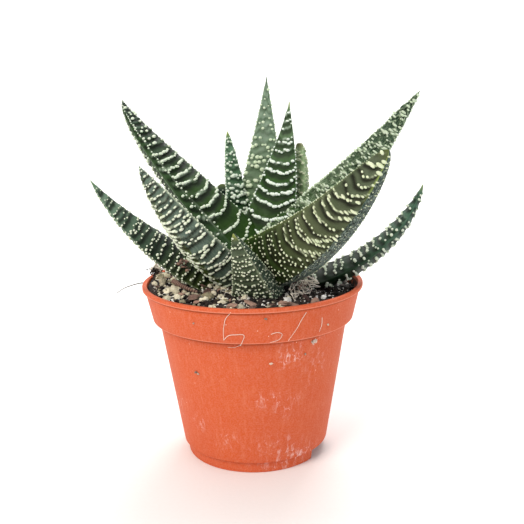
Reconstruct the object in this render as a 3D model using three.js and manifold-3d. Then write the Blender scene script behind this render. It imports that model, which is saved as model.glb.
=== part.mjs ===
// A haworthia in an 8.5 cm plastic nursery pot, millimetres, +Z up.
// The origin lies on the pot's axis, at the level it stands on.
import * as THREE from 'three';
import { mergeVertices } from 'three/addons/utils/BufferGeometryUtils.js';
import Module from 'manifold-3d';

const wasm = await Module();
wasm.setup();

// Pot
const ROUND_SEGMENTS = 40;
const RIM_RADIUS = 42.5;
const RIM_TOP = 67.6;
const LIP_DEPTH = 1.5;
const COLLAR_FOOT = 54.2;
const COLLAR_TOP_RADIUS = 41.5;
const COLLAR_FOOT_RADIUS = 38.8;
const BODY_TOP_RADIUS = 36.5;
const BODY_FOOT_RADIUS = 28.5;
const SKIRT_HEIGHT = 4.4;
const SKIRT_RADIUS = 26.8;
const WALL = 1;
const FLOOR_TOP = 5.6;
const GATE_RADIUS = 7;
const DRAIN_RADIUS = 2.5;
const DRAIN_CIRCLE = 16;
const DRAIN_COUNT = 4;
const NOTCH_WIDTH = 14.8;
const NOTCH_DIRECTIONS = [-21, 159];

// Free space kept between neighbours
const GAP = 0.3;

// Soil
const SOIL_EDGE = 64.6;
const SOIL_DOME = 2.2;
const SOIL_TILT = 1.2;
const SOIL_RINGS = 6;
const GRAIN_COUNT = 44;
const CHIP_COUNT = 18;

// Stem
const STEM_SEGMENTS = 16;
const STEM_FOOT = 46;
const STEM_RADIUS = 6.5;
const STEM_TOP_RADIUS = 3.6;
const STEM_TOP = 85;

// Leaf section and tubercles
const INNER_FACE_SIDES = 6;
const OUTER_FACE_SIDES = 6;
const TUBERCLE_RISE = 0.65;
const LEAF_BASE_WIDTH = 0.85;
const BASE_ROUNDING = 0.06;
const BASE_SHARE = 0.9;
const EDGE_POWER = 1.35;

// Every leaf: where its spine leaves the stem and where its tip is (distance
// from the axis and height), how far the spine bows outward and sideways, its
// greatest width and depth, where the keel lies across the outer face (-1..1),
// how far the section is rolled about the spine, how the width tapers, and how
// many bands of tubercles it carries. A leaf with rootTurn leaves the stem that
// many degrees round from its own direction. Ordered from the heart outward, so
// that an older leaf gives way to a younger one where the two meet.
const LEAVES = [
  {
    name: 'leaf_heart_centre', colour: '#2f5629', azimuth: 53.3, root: [4.5, 78], tip: [26.5, 135],
    bow: 3, sway: -0.5, lead: 0, width: 22.6, depth: 5, keel: 0.65, roll: 19,
    taper: 1.55, blunt: 1.15, bands: 11,
  },
  {
    name: 'leaf_left_tall', colour: '#2b4a2c', azimuth: 144, root: [2, 81], tip: [66, 136.5],
    bow: -2.5, sway: 7.5, lead: 0.3, width: 25, depth: 10, keel: 0.7, roll: -17,
    taper: 0.9, blunt: 1.17, bands: 13,
  },
  {
    name: 'leaf_back_tall', colour: '#6f8470', azimuth: 79.2, root: [5.5, 74], tip: [38, 145],
    bow: 7.5, sway: 0.4, lead: -0.1, width: 24, depth: 6, keel: 0.65, roll: 7,
    taper: 1.7, blunt: 1.05, bands: 13,
  },
  {
    name: 'leaf_heart_left', colour: '#3d5a41', azimuth: 108.8, root: [5.5, 74], tip: [29, 123.5],
    bow: 3.5, sway: -0.7, lead: 0, width: 12.5, depth: 4.5, keel: 0.2, roll: 22,
    taper: 2.1, blunt: 0.75, bands: 11,
  },
  {
    name: 'leaf_front_right_broad', colour: '#4a4e3a', azimuth: -52, root: [4.5, 74.5], tip: [70, 121],
    bow: 7, sway: -3.5, lead: 0.05, width: 26, depth: 9.5, keel: 0.52, roll: -55,
    taper: 1.2, blunt: 0.55, bands: 13,
  },
  {
    name: 'leaf_right_long', colour: '#3b573f', azimuth: 12, root: [5, 73], tip: [67.7, 138.3],
    bow: 3.1, sway: 1.5, lead: 0, width: 25, depth: 7, keel: 0, roll: 62,
    taper: 1.2, blunt: 0.92, bands: 14,
  },
  {
    name: 'leaf_back_right_blunt', colour: '#74845c', azimuth: 49.4, root: [6.5, 69], tip: [30, 118.5],
    bow: 7, sway: -2, lead: -0.1, width: 14, depth: 5.5, keel: 0, roll: -27,
    taper: 2.2, blunt: 0.3, bands: 10,
  },
  {
    name: 'leaf_back_left_blunt', colour: '#4c6048', azimuth: 122, root: [7, 67], tip: [22, 103],
    bow: 5, sway: 0, lead: 0, width: 15, depth: 5.5, keel: 0, roll: 0,
    taper: 2.2, blunt: 0.4, bands: 9,
  },
  {
    name: 'leaf_front_left', colour: '#506353', azimuth: 208, root: [6, 68], tip: [43.8, 114.4],
    bow: 3.5, sway: 6.3, lead: 0.2, width: 21, depth: 7, keel: 0, roll: 28,
    taper: 1.95, blunt: 1, bands: 13,
  },
  {
    name: 'leaf_back_right_low', colour: '#37513a', azimuth: 66, root: [6, 67], tip: [50, 92],
    bow: 5, sway: 0, lead: 0, width: 18, depth: 7, keel: 0, roll: 0,
    taper: 1.7, blunt: 1, bands: 10,
  },
  {
    name: 'leaf_back_left_low', colour: '#37513a', azimuth: 128, root: [6, 67], tip: [47, 94],
    bow: 5, sway: 0, lead: 0, width: 18, depth: 7, keel: 0, roll: 0,
    taper: 1.7, blunt: 1, bands: 10,
  },
  {
    name: 'leaf_back_low', colour: '#37513a', azimuth: 98, root: [6, 66], tip: [52, 93],
    bow: 5, sway: 0, lead: 0, width: 19, depth: 7, keel: 0, roll: 0,
    taper: 1.7, blunt: 1, bands: 10,
  },
  {
    name: 'leaf_left_low', colour: '#2a4236', azimuth: 188, root: [7, 65], tip: [59.3, 108.4],
    bow: 4.9, sway: -1.5, lead: 0.05, width: 21.6, depth: 6, keel: 0, roll: -31,
    taper: 1.75, blunt: 1, bands: 13,
  },
  {
    name: 'leaf_right_low', colour: '#2a4236', azimuth: -8, root: [7, 65], tip: [64.1, 104.8],
    bow: 9.4, sway: -1, lead: 0.1, width: 17.4, depth: 6.5, keel: 0, roll: 9,
    taper: 3, blunt: 1, bands: 14,
  },
  {
    name: 'leaf_front_short', colour: '#485e47', azimuth: 260, root: [8, 64], tip: [33.5, 92],
    bow: 5, sway: 2.5, lead: -0.2, width: 23.5, depth: 9, keel: 0.6, roll: 20,
    taper: 1.2, blunt: 0.7, bands: 10, rootTurn: 22,
  },
];

const radians = THREE.MathUtils.degToRad;

// Random numbers that come out the same every time.
function randomSource(seed) {
  let state = seed;
  return () => {
    state = (state * 1664525 + 1013904223) >>> 0;
    return state / 4294967296;
  };
}

// A solid for joining and cutting, from a geometry whose faces point outward.
function toSolid(geometry) {
  const plain = geometry.index ? geometry.toNonIndexed() : geometry.clone();
  plain.deleteAttribute('normal');
  plain.deleteAttribute('uv');
  const merged = mergeVertices(plain, 1e-4);
  const points = merged.attributes.position.array;
  const corners = merged.index.array;
  const used = [];
  for (let i = 0; i < corners.length; i += 3) {
    const [a, b, c] = [corners[i], corners[i + 1], corners[i + 2]];
    if (a !== b && b !== c && c !== a) {
      used.push(a, b, c);
    }
  }
  return new wasm.Manifold(new wasm.Mesh({
    numProp: 3,
    vertProperties: new Float32Array(points),
    triVerts: new Uint32Array(used),
  }));
}

// A geometry again, from a solid that has been joined or cut.
function toGeometry(solid) {
  const mesh = solid.getMesh();
  const geometry = new THREE.BufferGeometry();
  geometry.setAttribute('position', new THREE.BufferAttribute(new Float32Array(mesh.vertProperties), 3));
  geometry.setIndex(new THREE.BufferAttribute(new Uint32Array(mesh.triVerts), 1));
  geometry.computeVertexNormals();
  return geometry;
}

// The largest of the bodies that a cut leaves.
function largestBody(solid) {
  const bodies = solid.decompose();
  return bodies.reduce((kept, body) => (body.volume() > kept.volume() ? body : kept));
}

// A closed skin over rings of points: flat at the first ring, pointed at the last.
function skinOverRings(rings, foot, tip) {
  const around = rings[0].length;
  const points = [...rings.flat(), foot, tip];
  const footIndex = points.length - 2;
  const tipIndex = points.length - 1;
  const corners = [];
  for (let k = 0; k < rings.length - 1; k += 1) {
    for (let j = 0; j < around; j += 1) {
      const a = k * around + j;
      const b = k * around + (j + 1) % around;
      corners.push(a, b, b + around, a, b + around, a + around);
    }
  }
  const last = (rings.length - 1) * around;
  for (let j = 0; j < around; j += 1) {
    const next = (j + 1) % around;
    corners.push(footIndex, next, j);
    corners.push(tipIndex, last + j, last + next);
  }
  const geometry = new THREE.BufferGeometry().setFromPoints(points);
  geometry.setIndex(corners);
  return geometry;
}

// A body turned about the pot's axis, from (radius, height) points that run
// up the outside, starting and ending on the axis.
function turned(profile, segments) {
  const points = profile.map(([radius, height]) => new THREE.Vector2(radius, height));
  return new THREE.LatheGeometry(points, segments).rotateX(Math.PI / 2);
}

// Pot: flared collar over a tapered body, rounded lip, notched skirt below.
function makePot() {
  const lipFoot = RIM_TOP - LIP_DEPTH;
  const profile = [
    [0, 0],
    [GATE_RADIUS - 0.6, 0],
    [GATE_RADIUS, 0.6],
    [GATE_RADIUS + 0.4, SKIRT_HEIGHT - 0.3],
    [SKIRT_RADIUS - 1.7, SKIRT_HEIGHT - 0.3],
    [SKIRT_RADIUS - 1.4, 0],
    [SKIRT_RADIUS - 0.3, 0],
    [SKIRT_RADIUS, 0.4],
    [SKIRT_RADIUS + 0.4, SKIRT_HEIGHT],
    [BODY_FOOT_RADIUS, SKIRT_HEIGHT + 0.2],
    [BODY_TOP_RADIUS, COLLAR_FOOT],
    [COLLAR_FOOT_RADIUS - 0.3, COLLAR_FOOT],
    [COLLAR_FOOT_RADIUS, COLLAR_FOOT + 0.4],
    [COLLAR_TOP_RADIUS, lipFoot],
    [RIM_RADIUS - 0.3, lipFoot],
    [RIM_RADIUS, lipFoot + 0.4],
    [RIM_RADIUS, RIM_TOP - 0.5],
    [RIM_RADIUS - 0.5, RIM_TOP],
    [RIM_RADIUS - 1.3, RIM_TOP],
    [RIM_RADIUS - 1.8, RIM_TOP - 0.5],
    [COLLAR_TOP_RADIUS - WALL, lipFoot],
    [COLLAR_FOOT_RADIUS - WALL, COLLAR_FOOT + WALL],
    [BODY_TOP_RADIUS - WALL, COLLAR_FOOT + WALL],
    [BODY_FOOT_RADIUS - WALL, FLOOR_TOP + 0.7],
    [BODY_FOOT_RADIUS - WALL - 1, FLOOR_TOP],
    [0, FLOOR_TOP],
  ];
  let pot = toSolid(turned(profile, ROUND_SEGMENTS));
  for (const direction of NOTCH_DIRECTIONS) {
    const notch = new THREE.BoxGeometry(6, NOTCH_WIDTH, SKIRT_HEIGHT - 0.2);
    notch.translate(SKIRT_RADIUS + 0.4, 0, SKIRT_HEIGHT / 2 - 0.3);
    notch.rotateZ(radians(direction));
    pot = pot.subtract(toSolid(notch));
  }
  for (let i = 0; i < DRAIN_COUNT; i += 1) {
    const drain = new THREE.CylinderGeometry(DRAIN_RADIUS, DRAIN_RADIUS, 4, 12).rotateX(Math.PI / 2);
    drain.translate(DRAIN_CIRCLE, 0, FLOOR_TOP - 0.5);
    drain.rotateZ(radians(24 + (360 / DRAIN_COUNT) * i));
    pot = pot.subtract(toSolid(drain));
  }
  return pot;
}

// Height of the soil's surface: a low dome toward the plant, heaped a little
// higher on the left, gently uneven.
function soilHeight(x, y) {
  const reach = Math.hypot(x, y) / (RIM_RADIUS - 3);
  const dome = SOIL_DOME * (1 - reach * reach) - (SOIL_TILT * x) / RIM_RADIUS;
  const uneven = 0.5 * Math.sin(0.31 * x + 1.3) * Math.cos(0.27 * y - 0.4);
  return SOIL_EDGE + dome + uneven + 0.3 * Math.sin(0.55 * y + 0.21 * x);
}

// Soil without its loose pieces; lift raises the surface.
function makeSoilBed(lift) {
  const wallAt = (height) => {
    const share = (height - COLLAR_FOOT - WALL) / (RIM_TOP - LIP_DEPTH - COLLAR_FOOT - WALL);
    return THREE.MathUtils.lerp(COLLAR_FOOT_RADIUS, COLLAR_TOP_RADIUS, share) - WALL;
  };
  const edge = wallAt(SOIL_EDGE - SOIL_TILT - 0.8) - GAP;
  const profile = [
    [0, FLOOR_TOP + GAP],
    [BODY_FOOT_RADIUS - WALL - 1 - GAP, FLOOR_TOP + GAP],
    [BODY_FOOT_RADIUS - WALL - GAP - 0.1, FLOOR_TOP + 0.9],
    [BODY_TOP_RADIUS - WALL - GAP, COLLAR_FOOT + WALL + GAP],
    [COLLAR_FOOT_RADIUS - WALL - GAP, COLLAR_FOOT + WALL + GAP],
  ];
  for (let i = SOIL_RINGS; i >= 0; i -= 1) {
    profile.push([(edge * i) / SOIL_RINGS, SOIL_EDGE]);
  }
  const geometry = turned(profile, ROUND_SEGMENTS);
  const position = geometry.attributes.position;
  for (let i = 0; i < position.count; i += 1) {
    if (position.getZ(i) > COLLAR_FOOT + 3) {
      position.setZ(i, soilHeight(position.getX(i), position.getY(i)) + lift);
    }
  }
  return toSolid(geometry);
}

// Perlite grains and bark chips lying in the surface, sunk about half their depth.
function makeSoilPieces() {
  const random = randomSource(85);
  const pieces = [];
  const scatter = (make, size, innerRadius) => {
    const radius = Math.sqrt(THREE.MathUtils.lerp(innerRadius ** 2, 36 ** 2, random()));
    const angle = random() * 2 * Math.PI;
    const [x, y] = [radius * Math.cos(angle), radius * Math.sin(angle)];
    const piece = make(size);
    piece.rotateX((random() - 0.5) * 0.9);
    piece.rotateZ(random() * 2 * Math.PI);
    piece.translate(x, y, soilHeight(x, y) + size * 0.12);
    pieces.push(toSolid(piece));
  };
  for (let i = 0; i < GRAIN_COUNT; i += 1) {
    const grain = (size) => new THREE.IcosahedronGeometry(size, 0).scale(1, 0.8, 0.7);
    scatter(grain, 1 + 1.1 * random(), 14);
  }
  for (let i = 0; i < CHIP_COUNT; i += 1) {
    const chip = (size) => new THREE.BoxGeometry(size * 2.4, size * 1.3, size * 0.7);
    scatter(chip, 1.6 + 1.3 * random(), 16);
  }
  return pieces;
}

// Stem: a short column that the leaves clasp, with a pointed bud, grown by a clearance.
function makeStem(grow) {
  const profile = [
    [0, STEM_FOOT - grow],
    [STEM_RADIUS - 1 + grow, STEM_FOOT - grow],
    [STEM_RADIUS + grow, STEM_FOOT + 1],
    [STEM_RADIUS + grow, 68],
    [STEM_TOP_RADIUS + grow, STEM_TOP - 7],
    [0, STEM_TOP + 2 * grow],
  ];
  return toSolid(turned(profile, STEM_SEGMENTS));
}

// Spine of a leaf: a quadratic curve from the stem to the tip.
function leafSpine(leaf) {
  const place = (degrees, [radius, height]) => new THREE.Vector3(
    radius * Math.cos(radians(degrees)),
    radius * Math.sin(radians(degrees)),
    height,
  );
  const sideways = place(leaf.azimuth + 90, [1, 0]);
  const root = place(leaf.azimuth + (leaf.rootTurn ?? 0), leaf.root);
  const tip = place(leaf.azimuth, leaf.tip);
  const chord = tip.clone().sub(root);
  const upward = chord.clone().normalize().cross(sideways);
  const middle = root.clone().add(tip).multiplyScalar(0.5);
  middle.addScaledVector(upward, -2 * leaf.bow);
  middle.addScaledVector(sideways, 2 * leaf.sway);
  middle.addScaledVector(chord, leaf.lead);
  return { curve: new THREE.QuadraticBezierCurve3(root, middle, tip), sideways };
}

// One section of a leaf, as (across, up) points around it: a nearly flat inner
// face and a keeled outer face that meet at the two margins.
function leafSection(leaf, s) {
  const widening = THREE.MathUtils.clamp(s / 0.25, 0, 1) ** 0.7;
  const rounding = BASE_SHARE + (1 - BASE_SHARE) * Math.sqrt(1 - (1 - Math.min(s / BASE_ROUNDING, 1)) ** 2);
  const fullness = (1 - s ** leaf.taper) ** leaf.blunt
    * (LEAF_BASE_WIDTH + (1 - LEAF_BASE_WIDTH) * widening) * rounding;
  const halfWidth = (leaf.width / 2) * fullness;
  const outerDepth = leaf.depth * fullness ** 0.75 * (1 - 0.25 * s);
  const innerRise = leaf.depth * (0.1 + 0.25 * s) * fullness ** 0.9;
  const section = [];
  for (let j = 0; j < INNER_FACE_SIDES; j += 1) {
    const across = Math.cos((j * Math.PI) / INNER_FACE_SIDES);
    section.push(new THREE.Vector2(halfWidth * across, innerRise * (1 - Math.abs(across) ** 3) ** 0.7));
  }
  for (let j = 0; j < OUTER_FACE_SIDES; j += 1) {
    const turn = -Math.cos((j * Math.PI) / OUTER_FACE_SIDES);
    const across = leaf.keel + turn * (turn < 0 ? 1 + leaf.keel : 1 - leaf.keel);
    const depth = outerDepth * (1 - Math.abs(turn) ** EDGE_POWER) ** 0.8;
    section.push(new THREE.Vector2(halfWidth * across, -depth));
  }
  return section;
}

// The section moved outward by its own normals; corners keep the full distance.
function growSection(section, distances) {
  const count = section.length;
  const edgeNormal = (from, to) => new THREE.Vector2(to.y - from.y, from.x - to.x).normalize();
  return section.map((point, j) => {
    const before = edgeNormal(section[(j + count - 1) % count], point);
    const after = edgeNormal(point, section[(j + 1) % count]);
    const middle = before.clone().add(after).normalize();
    const corner = Math.max(0.45, middle.dot(before));
    return point.clone().addScaledVector(middle, distances[j] / corner);
  });
}

// A leaf as a solid. Its tubercles are raised corners, staggered from band to
// band; with a clearance given, it is the plain leaf grown past all of them.
function makeLeaf(leaf, clearance) {
  const { curve, sideways } = leafSpine(leaf);
  const steps = 2 * leaf.bands;
  const roll = radians(leaf.roll);
  const rings = [];
  for (let k = 0; k <= steps; k += 1) {
    const s = k < steps ? k / steps : 1 - 0.3 / steps;
    const centre = curve.getPoint(s);
    const along = curve.getTangent(s);
    const across = sideways.clone().addScaledVector(along, -sideways.dot(along)).normalize();
    const up = along.clone().cross(across);
    const turnedAcross = across.clone().multiplyScalar(Math.cos(roll)).addScaledVector(up, Math.sin(roll));
    const turnedUp = up.clone().multiplyScalar(Math.cos(roll)).addScaledVector(across, -Math.sin(roll));
    const section = leafSection(leaf, s);
    const fade = THREE.MathUtils.smoothstep(s, 0.1, 0.25) * (1 - THREE.MathUtils.smoothstep(s, 0.85, 1));
    const rise = TUBERCLE_RISE * fade;
    const distances = section.map((point, j) => {
      const raised = k % 2 === 1 && (j + (k - 1) / 2) % 2 === 0;
      return clearance ? rise + clearance : (raised ? rise : 0);
    });
    rings.push(growSection(section, distances).map((point) => centre.clone()
      .addScaledVector(turnedAcross, point.x)
      .addScaledVector(turnedUp, point.y)));
  }
  const foot = curve.getPoint(0).addScaledVector(curve.getTangent(0), clearance ? -clearance : 0);
  const tip = curve.getPoint(1).addScaledVector(curve.getTangent(1), clearance * 4);
  return toSolid(skinOverRings(rings, foot, tip));
}

const part = new THREE.Group();
part.name = 'potted_haworthia';

function addPiece(parent, name, solid, colour, roughness, turn = 0) {
  const material = new THREE.MeshStandardMaterial({ color: colour, roughness, metalness: 0 });
  const mesh = new THREE.Mesh(toGeometry(solid), material);
  mesh.geometry.rotateZ(-turn);
  mesh.rotation.z = turn;
  mesh.name = name;
  parent.add(mesh);
}

// Stem and leaves, each leaf cut clear of the stem, the soil and younger leaves.
const plant = new THREE.Group();
const stemClear = makeStem(GAP);
const soilClear = makeSoilBed(GAP);
const taken = [];
addPiece(plant, 'stem', makeStem(0), '#5d6b3c', 0.7);
for (const leaf of LEAVES) {
  let solid = makeLeaf(leaf, 0).subtract(stemClear).subtract(soilClear);
  for (const younger of taken) {
    solid = solid.subtract(younger);
  }
  addPiece(plant, leaf.name, largestBody(solid), leaf.colour, 0.55, radians(leaf.azimuth));
  taken.push(makeLeaf(leaf, GAP));
}
part.add(plant);

// Soil with the grains and chips that lie clear of the leaves.
let soil = makeSoilBed(0);
for (const piece of makeSoilPieces()) {
  if (taken.every((leaf) => piece.intersect(leaf).isEmpty())) {
    soil = soil.add(piece);
  }
}
soil = soil.subtract(stemClear);
addPiece(part, 'soil', soil, '#4b423b', 0.95);
addPiece(part, 'pot', makePot(), '#dc6a48', 0.5);

export default part;
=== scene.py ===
import math
import bpy
import numpy as np
from mathutils import Matrix, Vector


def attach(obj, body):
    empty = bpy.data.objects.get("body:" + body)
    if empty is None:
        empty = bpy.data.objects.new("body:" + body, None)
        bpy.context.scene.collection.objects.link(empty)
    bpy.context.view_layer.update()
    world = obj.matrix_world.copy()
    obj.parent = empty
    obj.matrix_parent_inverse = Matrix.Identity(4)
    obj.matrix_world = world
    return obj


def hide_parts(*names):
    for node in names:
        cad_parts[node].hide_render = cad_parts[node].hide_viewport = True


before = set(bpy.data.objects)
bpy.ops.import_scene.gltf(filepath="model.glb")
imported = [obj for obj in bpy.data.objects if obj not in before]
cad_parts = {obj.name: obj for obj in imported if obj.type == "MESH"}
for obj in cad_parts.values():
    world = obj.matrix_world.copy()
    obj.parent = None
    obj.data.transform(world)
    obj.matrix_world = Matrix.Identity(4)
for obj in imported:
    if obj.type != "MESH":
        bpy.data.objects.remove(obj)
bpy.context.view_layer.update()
mm = 0.001

# Everything below is measured in millimetres, on the pot's axis, and turned to metres in makePiece.


def smoothStep(x, low, high):
    # 0 up to low, 1 from high, and the S-curve t * t * (3 - 2 * t) between them
    t = np.clip((x - low) / (high - low), 0, 1)
    return t * t * (3 - 2 * t)


def unit(v):
    # vectors divided by their lengths
    return v / np.maximum(np.linalg.norm(v, axis=-1, keepdims=True), 1e-9)


def circle(sides):
    # directions evenly round a circle, in radians
    return np.arange(sides) * 2 * math.pi / sides


def polar(radius, angle, height):
    # points at a radius, direction and height about the pot's axis
    return np.stack(np.broadcast_arrays(radius * np.cos(angle), radius * np.sin(angle), height), axis=-1)


def arc(start, middle, end, t):
    # quadratic curve: (1 - t)^2 of its start, 2 t (1 - t) of its middle and t^2 of its end
    return (1 - t) ** 2 * start + 2 * t * (1 - t) * middle + t ** 2 * end


def turnFrom(angle, direction):
    # how far each angle is turned from a direction in degrees, from -pi to pi
    return (angle - math.radians(direction) + math.pi) % (2 * math.pi) - math.pi


def between(height, low, high, lowRadius, highRadius):
    # radius at a height of a straight wall from (lowRadius, low) to (highRadius, high)
    return lowRadius + (highRadius - lowRadius) * (height - low) / (high - low)


def lumps(x, y, size, seed):
    # smooth random heights from -1 to 1 on a square lattice of the given size, blended between its corners
    cells, shift = 64, 200.5  # the lattice repeats after so many cells, and is shifted clear of zero
    table = np.random.default_rng(seed).uniform(-1, 1, (cells, cells))
    u, v = x / size + shift, y / size + shift
    i, j = np.floor(u).astype(int), np.floor(v).astype(int)
    fu, fv = smoothStep(u - i, 0, 1), smoothStep(v - j, 0, 1)
    near = table[i % cells, j % cells] * (1 - fu) + table[(i + 1) % cells, j % cells] * fu
    far = table[i % cells, (j + 1) % cells] * (1 - fu) + table[(i + 1) % cells, (j + 1) % cells] * fu
    return near * (1 - fv) + far * fv


def gridFaces(rows, columns, closed=True):
    # one quad between each pair of neighbouring rows and columns; closed joins the last column to the first
    across = columns if closed else columns - 1
    r, c = np.meshgrid(np.arange(rows - 1), np.arange(across), indexing="ij")
    a = r * columns + c
    b = r * columns + (c + 1) % columns
    return np.stack([a, b, b + columns, a + columns], axis=-1).reshape(-1, 4)


def capFaces(ring, centre, facingBack):
    # a fan of triangles from a ring of points to one point
    following = np.roll(ring, -1)
    first, second = (following, ring) if facingBack else (ring, following)
    return np.stack([np.full(len(ring), centre), first, second], axis=-1)


def tubeFaces(rows, sides):
    # a closed tube: its wall, and a fan at each end to the two end points that follow its rows
    ring, count = np.arange(sides), rows * sides
    foot, top = capFaces(ring, count, True), capFaces(ring + count - sides, count + 1, False)
    return [gridFaces(rows, sides), foot, top]


def joinParts(parts):
    # several (points, face sets, attributes) as one
    points, faceSets, offset = [], [], 0
    attributes = {key: [] for key in parts[0][2]}
    for somePoints, someFaces, values in parts:
        points.append(somePoints)
        faceSets += [faces + offset for faces in someFaces]
        for key in attributes:
            attributes[key].append(np.broadcast_to(values[key], len(somePoints)))
        offset += len(somePoints)
    return np.concatenate(points), faceSets, {key: np.concatenate(v) for key, v in attributes.items()}


def makePiece(name, part, material, smooth=True):
    # an object from (points, face sets, point attributes), which rides on the frame's one body
    points, faceSets, attributes = part
    mesh = bpy.data.meshes.new(name)
    corners = np.concatenate([faces.ravel() for faces in faceSets])
    sizes = np.concatenate([np.full(len(faces), faces.shape[1]) for faces in faceSets])
    starts = np.concatenate([[0], np.cumsum(sizes)[:-1]])
    mesh.vertices.add(len(points))
    mesh.vertices.foreach_set("co", (points * mm).astype(np.float32).ravel())
    mesh.loops.add(len(corners))
    mesh.loops.foreach_set("vertex_index", corners.astype(np.int32))
    mesh.polygons.add(len(sizes))
    mesh.polygons.foreach_set("loop_start", starts.astype(np.int32))
    mesh.polygons.foreach_set("use_smooth", np.full(len(sizes), smooth))
    for key, values in attributes.items():
        layer = mesh.attributes.new(key, "FLOAT", "POINT")
        layer.data.foreach_set("value", np.ascontiguousarray(values, dtype=np.float32))
    mesh.update(calc_edges=True)
    mesh.validate()
    mesh.materials.append(material)
    piece = bpy.data.objects.new(name, mesh)
    bpy.context.scene.collection.objects.link(piece)
    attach(piece, "root")
    return piece


# Materials

mixShare, mixUnder, mixOver, mixResult = 0, 6, 7, 2  # the sockets of a Mix node that mixes colours
rangeSockets = ("Value", "From Min", "From Max", "To Min", "To Max")


def linear(hexColour):
    # sRGB hex value to linear red, green, blue and alpha
    channels = [int(hexColour[i:i + 2], 16) / 255 for i in (1, 3, 5)]
    return [c / 12.92 if c < 0.04045 else ((c + 0.055) / 1.055) ** 2.4 for c in channels] + [1]


def perMm(size):
    # scale of a texture on Object coordinates (metres) whose features are this many millimetres
    return 1000 / size


def addNode(tree, kind, values=None, stops=()):
    # a node with its settings and inputs: another node's output is linked, and a hex colour is made linear.
    # stops are a ramp's (place, colour) pairs from left to right
    node = tree.nodes.new(kind)
    for key, value in (values or {}).items():
        if isinstance(key, str) and key not in node.inputs:
            setattr(node, key, value)
        elif isinstance(value, bpy.types.NodeSocket):
            tree.links.new(value, node.inputs[key])
        else:
            node.inputs[key].default_value = linear(value) if isinstance(value, str) else value
    if stops:
        elements = node.color_ramp.elements
        elements.remove(elements[1])
        elements[0].position, elements[0].color = stops[0][0], linear(stops[0][1])
        for place, colour in stops[1:]:
            elements.new(place).color = linear(colour)
    return node


def newMaterial(name):
    # an empty material with its node tree and Object coordinates
    material = bpy.data.materials.new(name)
    material.use_nodes = True
    tree = material.node_tree
    tree.nodes.clear()
    return material, tree, addNode(tree, "ShaderNodeTexCoord").outputs["Object"]


def finishMaterial(material, shaderValues):
    # the material with a shader of these values on its surface
    tree = material.node_tree
    shader = addNode(tree, "ShaderNodeBsdfPrincipled", shaderValues)
    addNode(tree, "ShaderNodeOutputMaterial", {"Surface": shader.outputs[0]})
    return material


def layered(tree, colour, layers):
    # layers of (blend, colour, shares) laid over a colour in turn, each as strong as its shares multiplied.
    # A share is a number, an output, or (output, from, to, share at from, share at to)
    for blend, over, *shares in layers:
        strength = None
        for share in shares:
            if isinstance(share, tuple):
                share = addNode(tree, "ShaderNodeMapRange", dict(zip(rangeSockets, share))).outputs[0]
            if strength is not None:
                both = {"operation": "MULTIPLY", 0: strength, 1: share}
                share = addNode(tree, "ShaderNodeMath", both).outputs[0]
            strength = share
        colour = addNode(tree, "ShaderNodeMix", {
            "data_type": "RGBA", "blend_type": blend,
            mixShare: strength, mixUnder: colour, mixOver: over}).outputs[mixResult]
    return colour


# colours of a leaf that don't name their own: bodyStart and baseEnd are shares of its length
# the near-black green in these defaults is painted shade, laid between and below the bands
plainSkin = dict(baseEnd=0.22, bodyStart=0.45, paintedShade="#0b1407", pearl="#e4ebd6", veins=0, facetVeins=0)
skinAttributes = ("along", "bead", "band", "facetShadeAndSheen", "edge", "paintedShade", "run", "girth")


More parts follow.
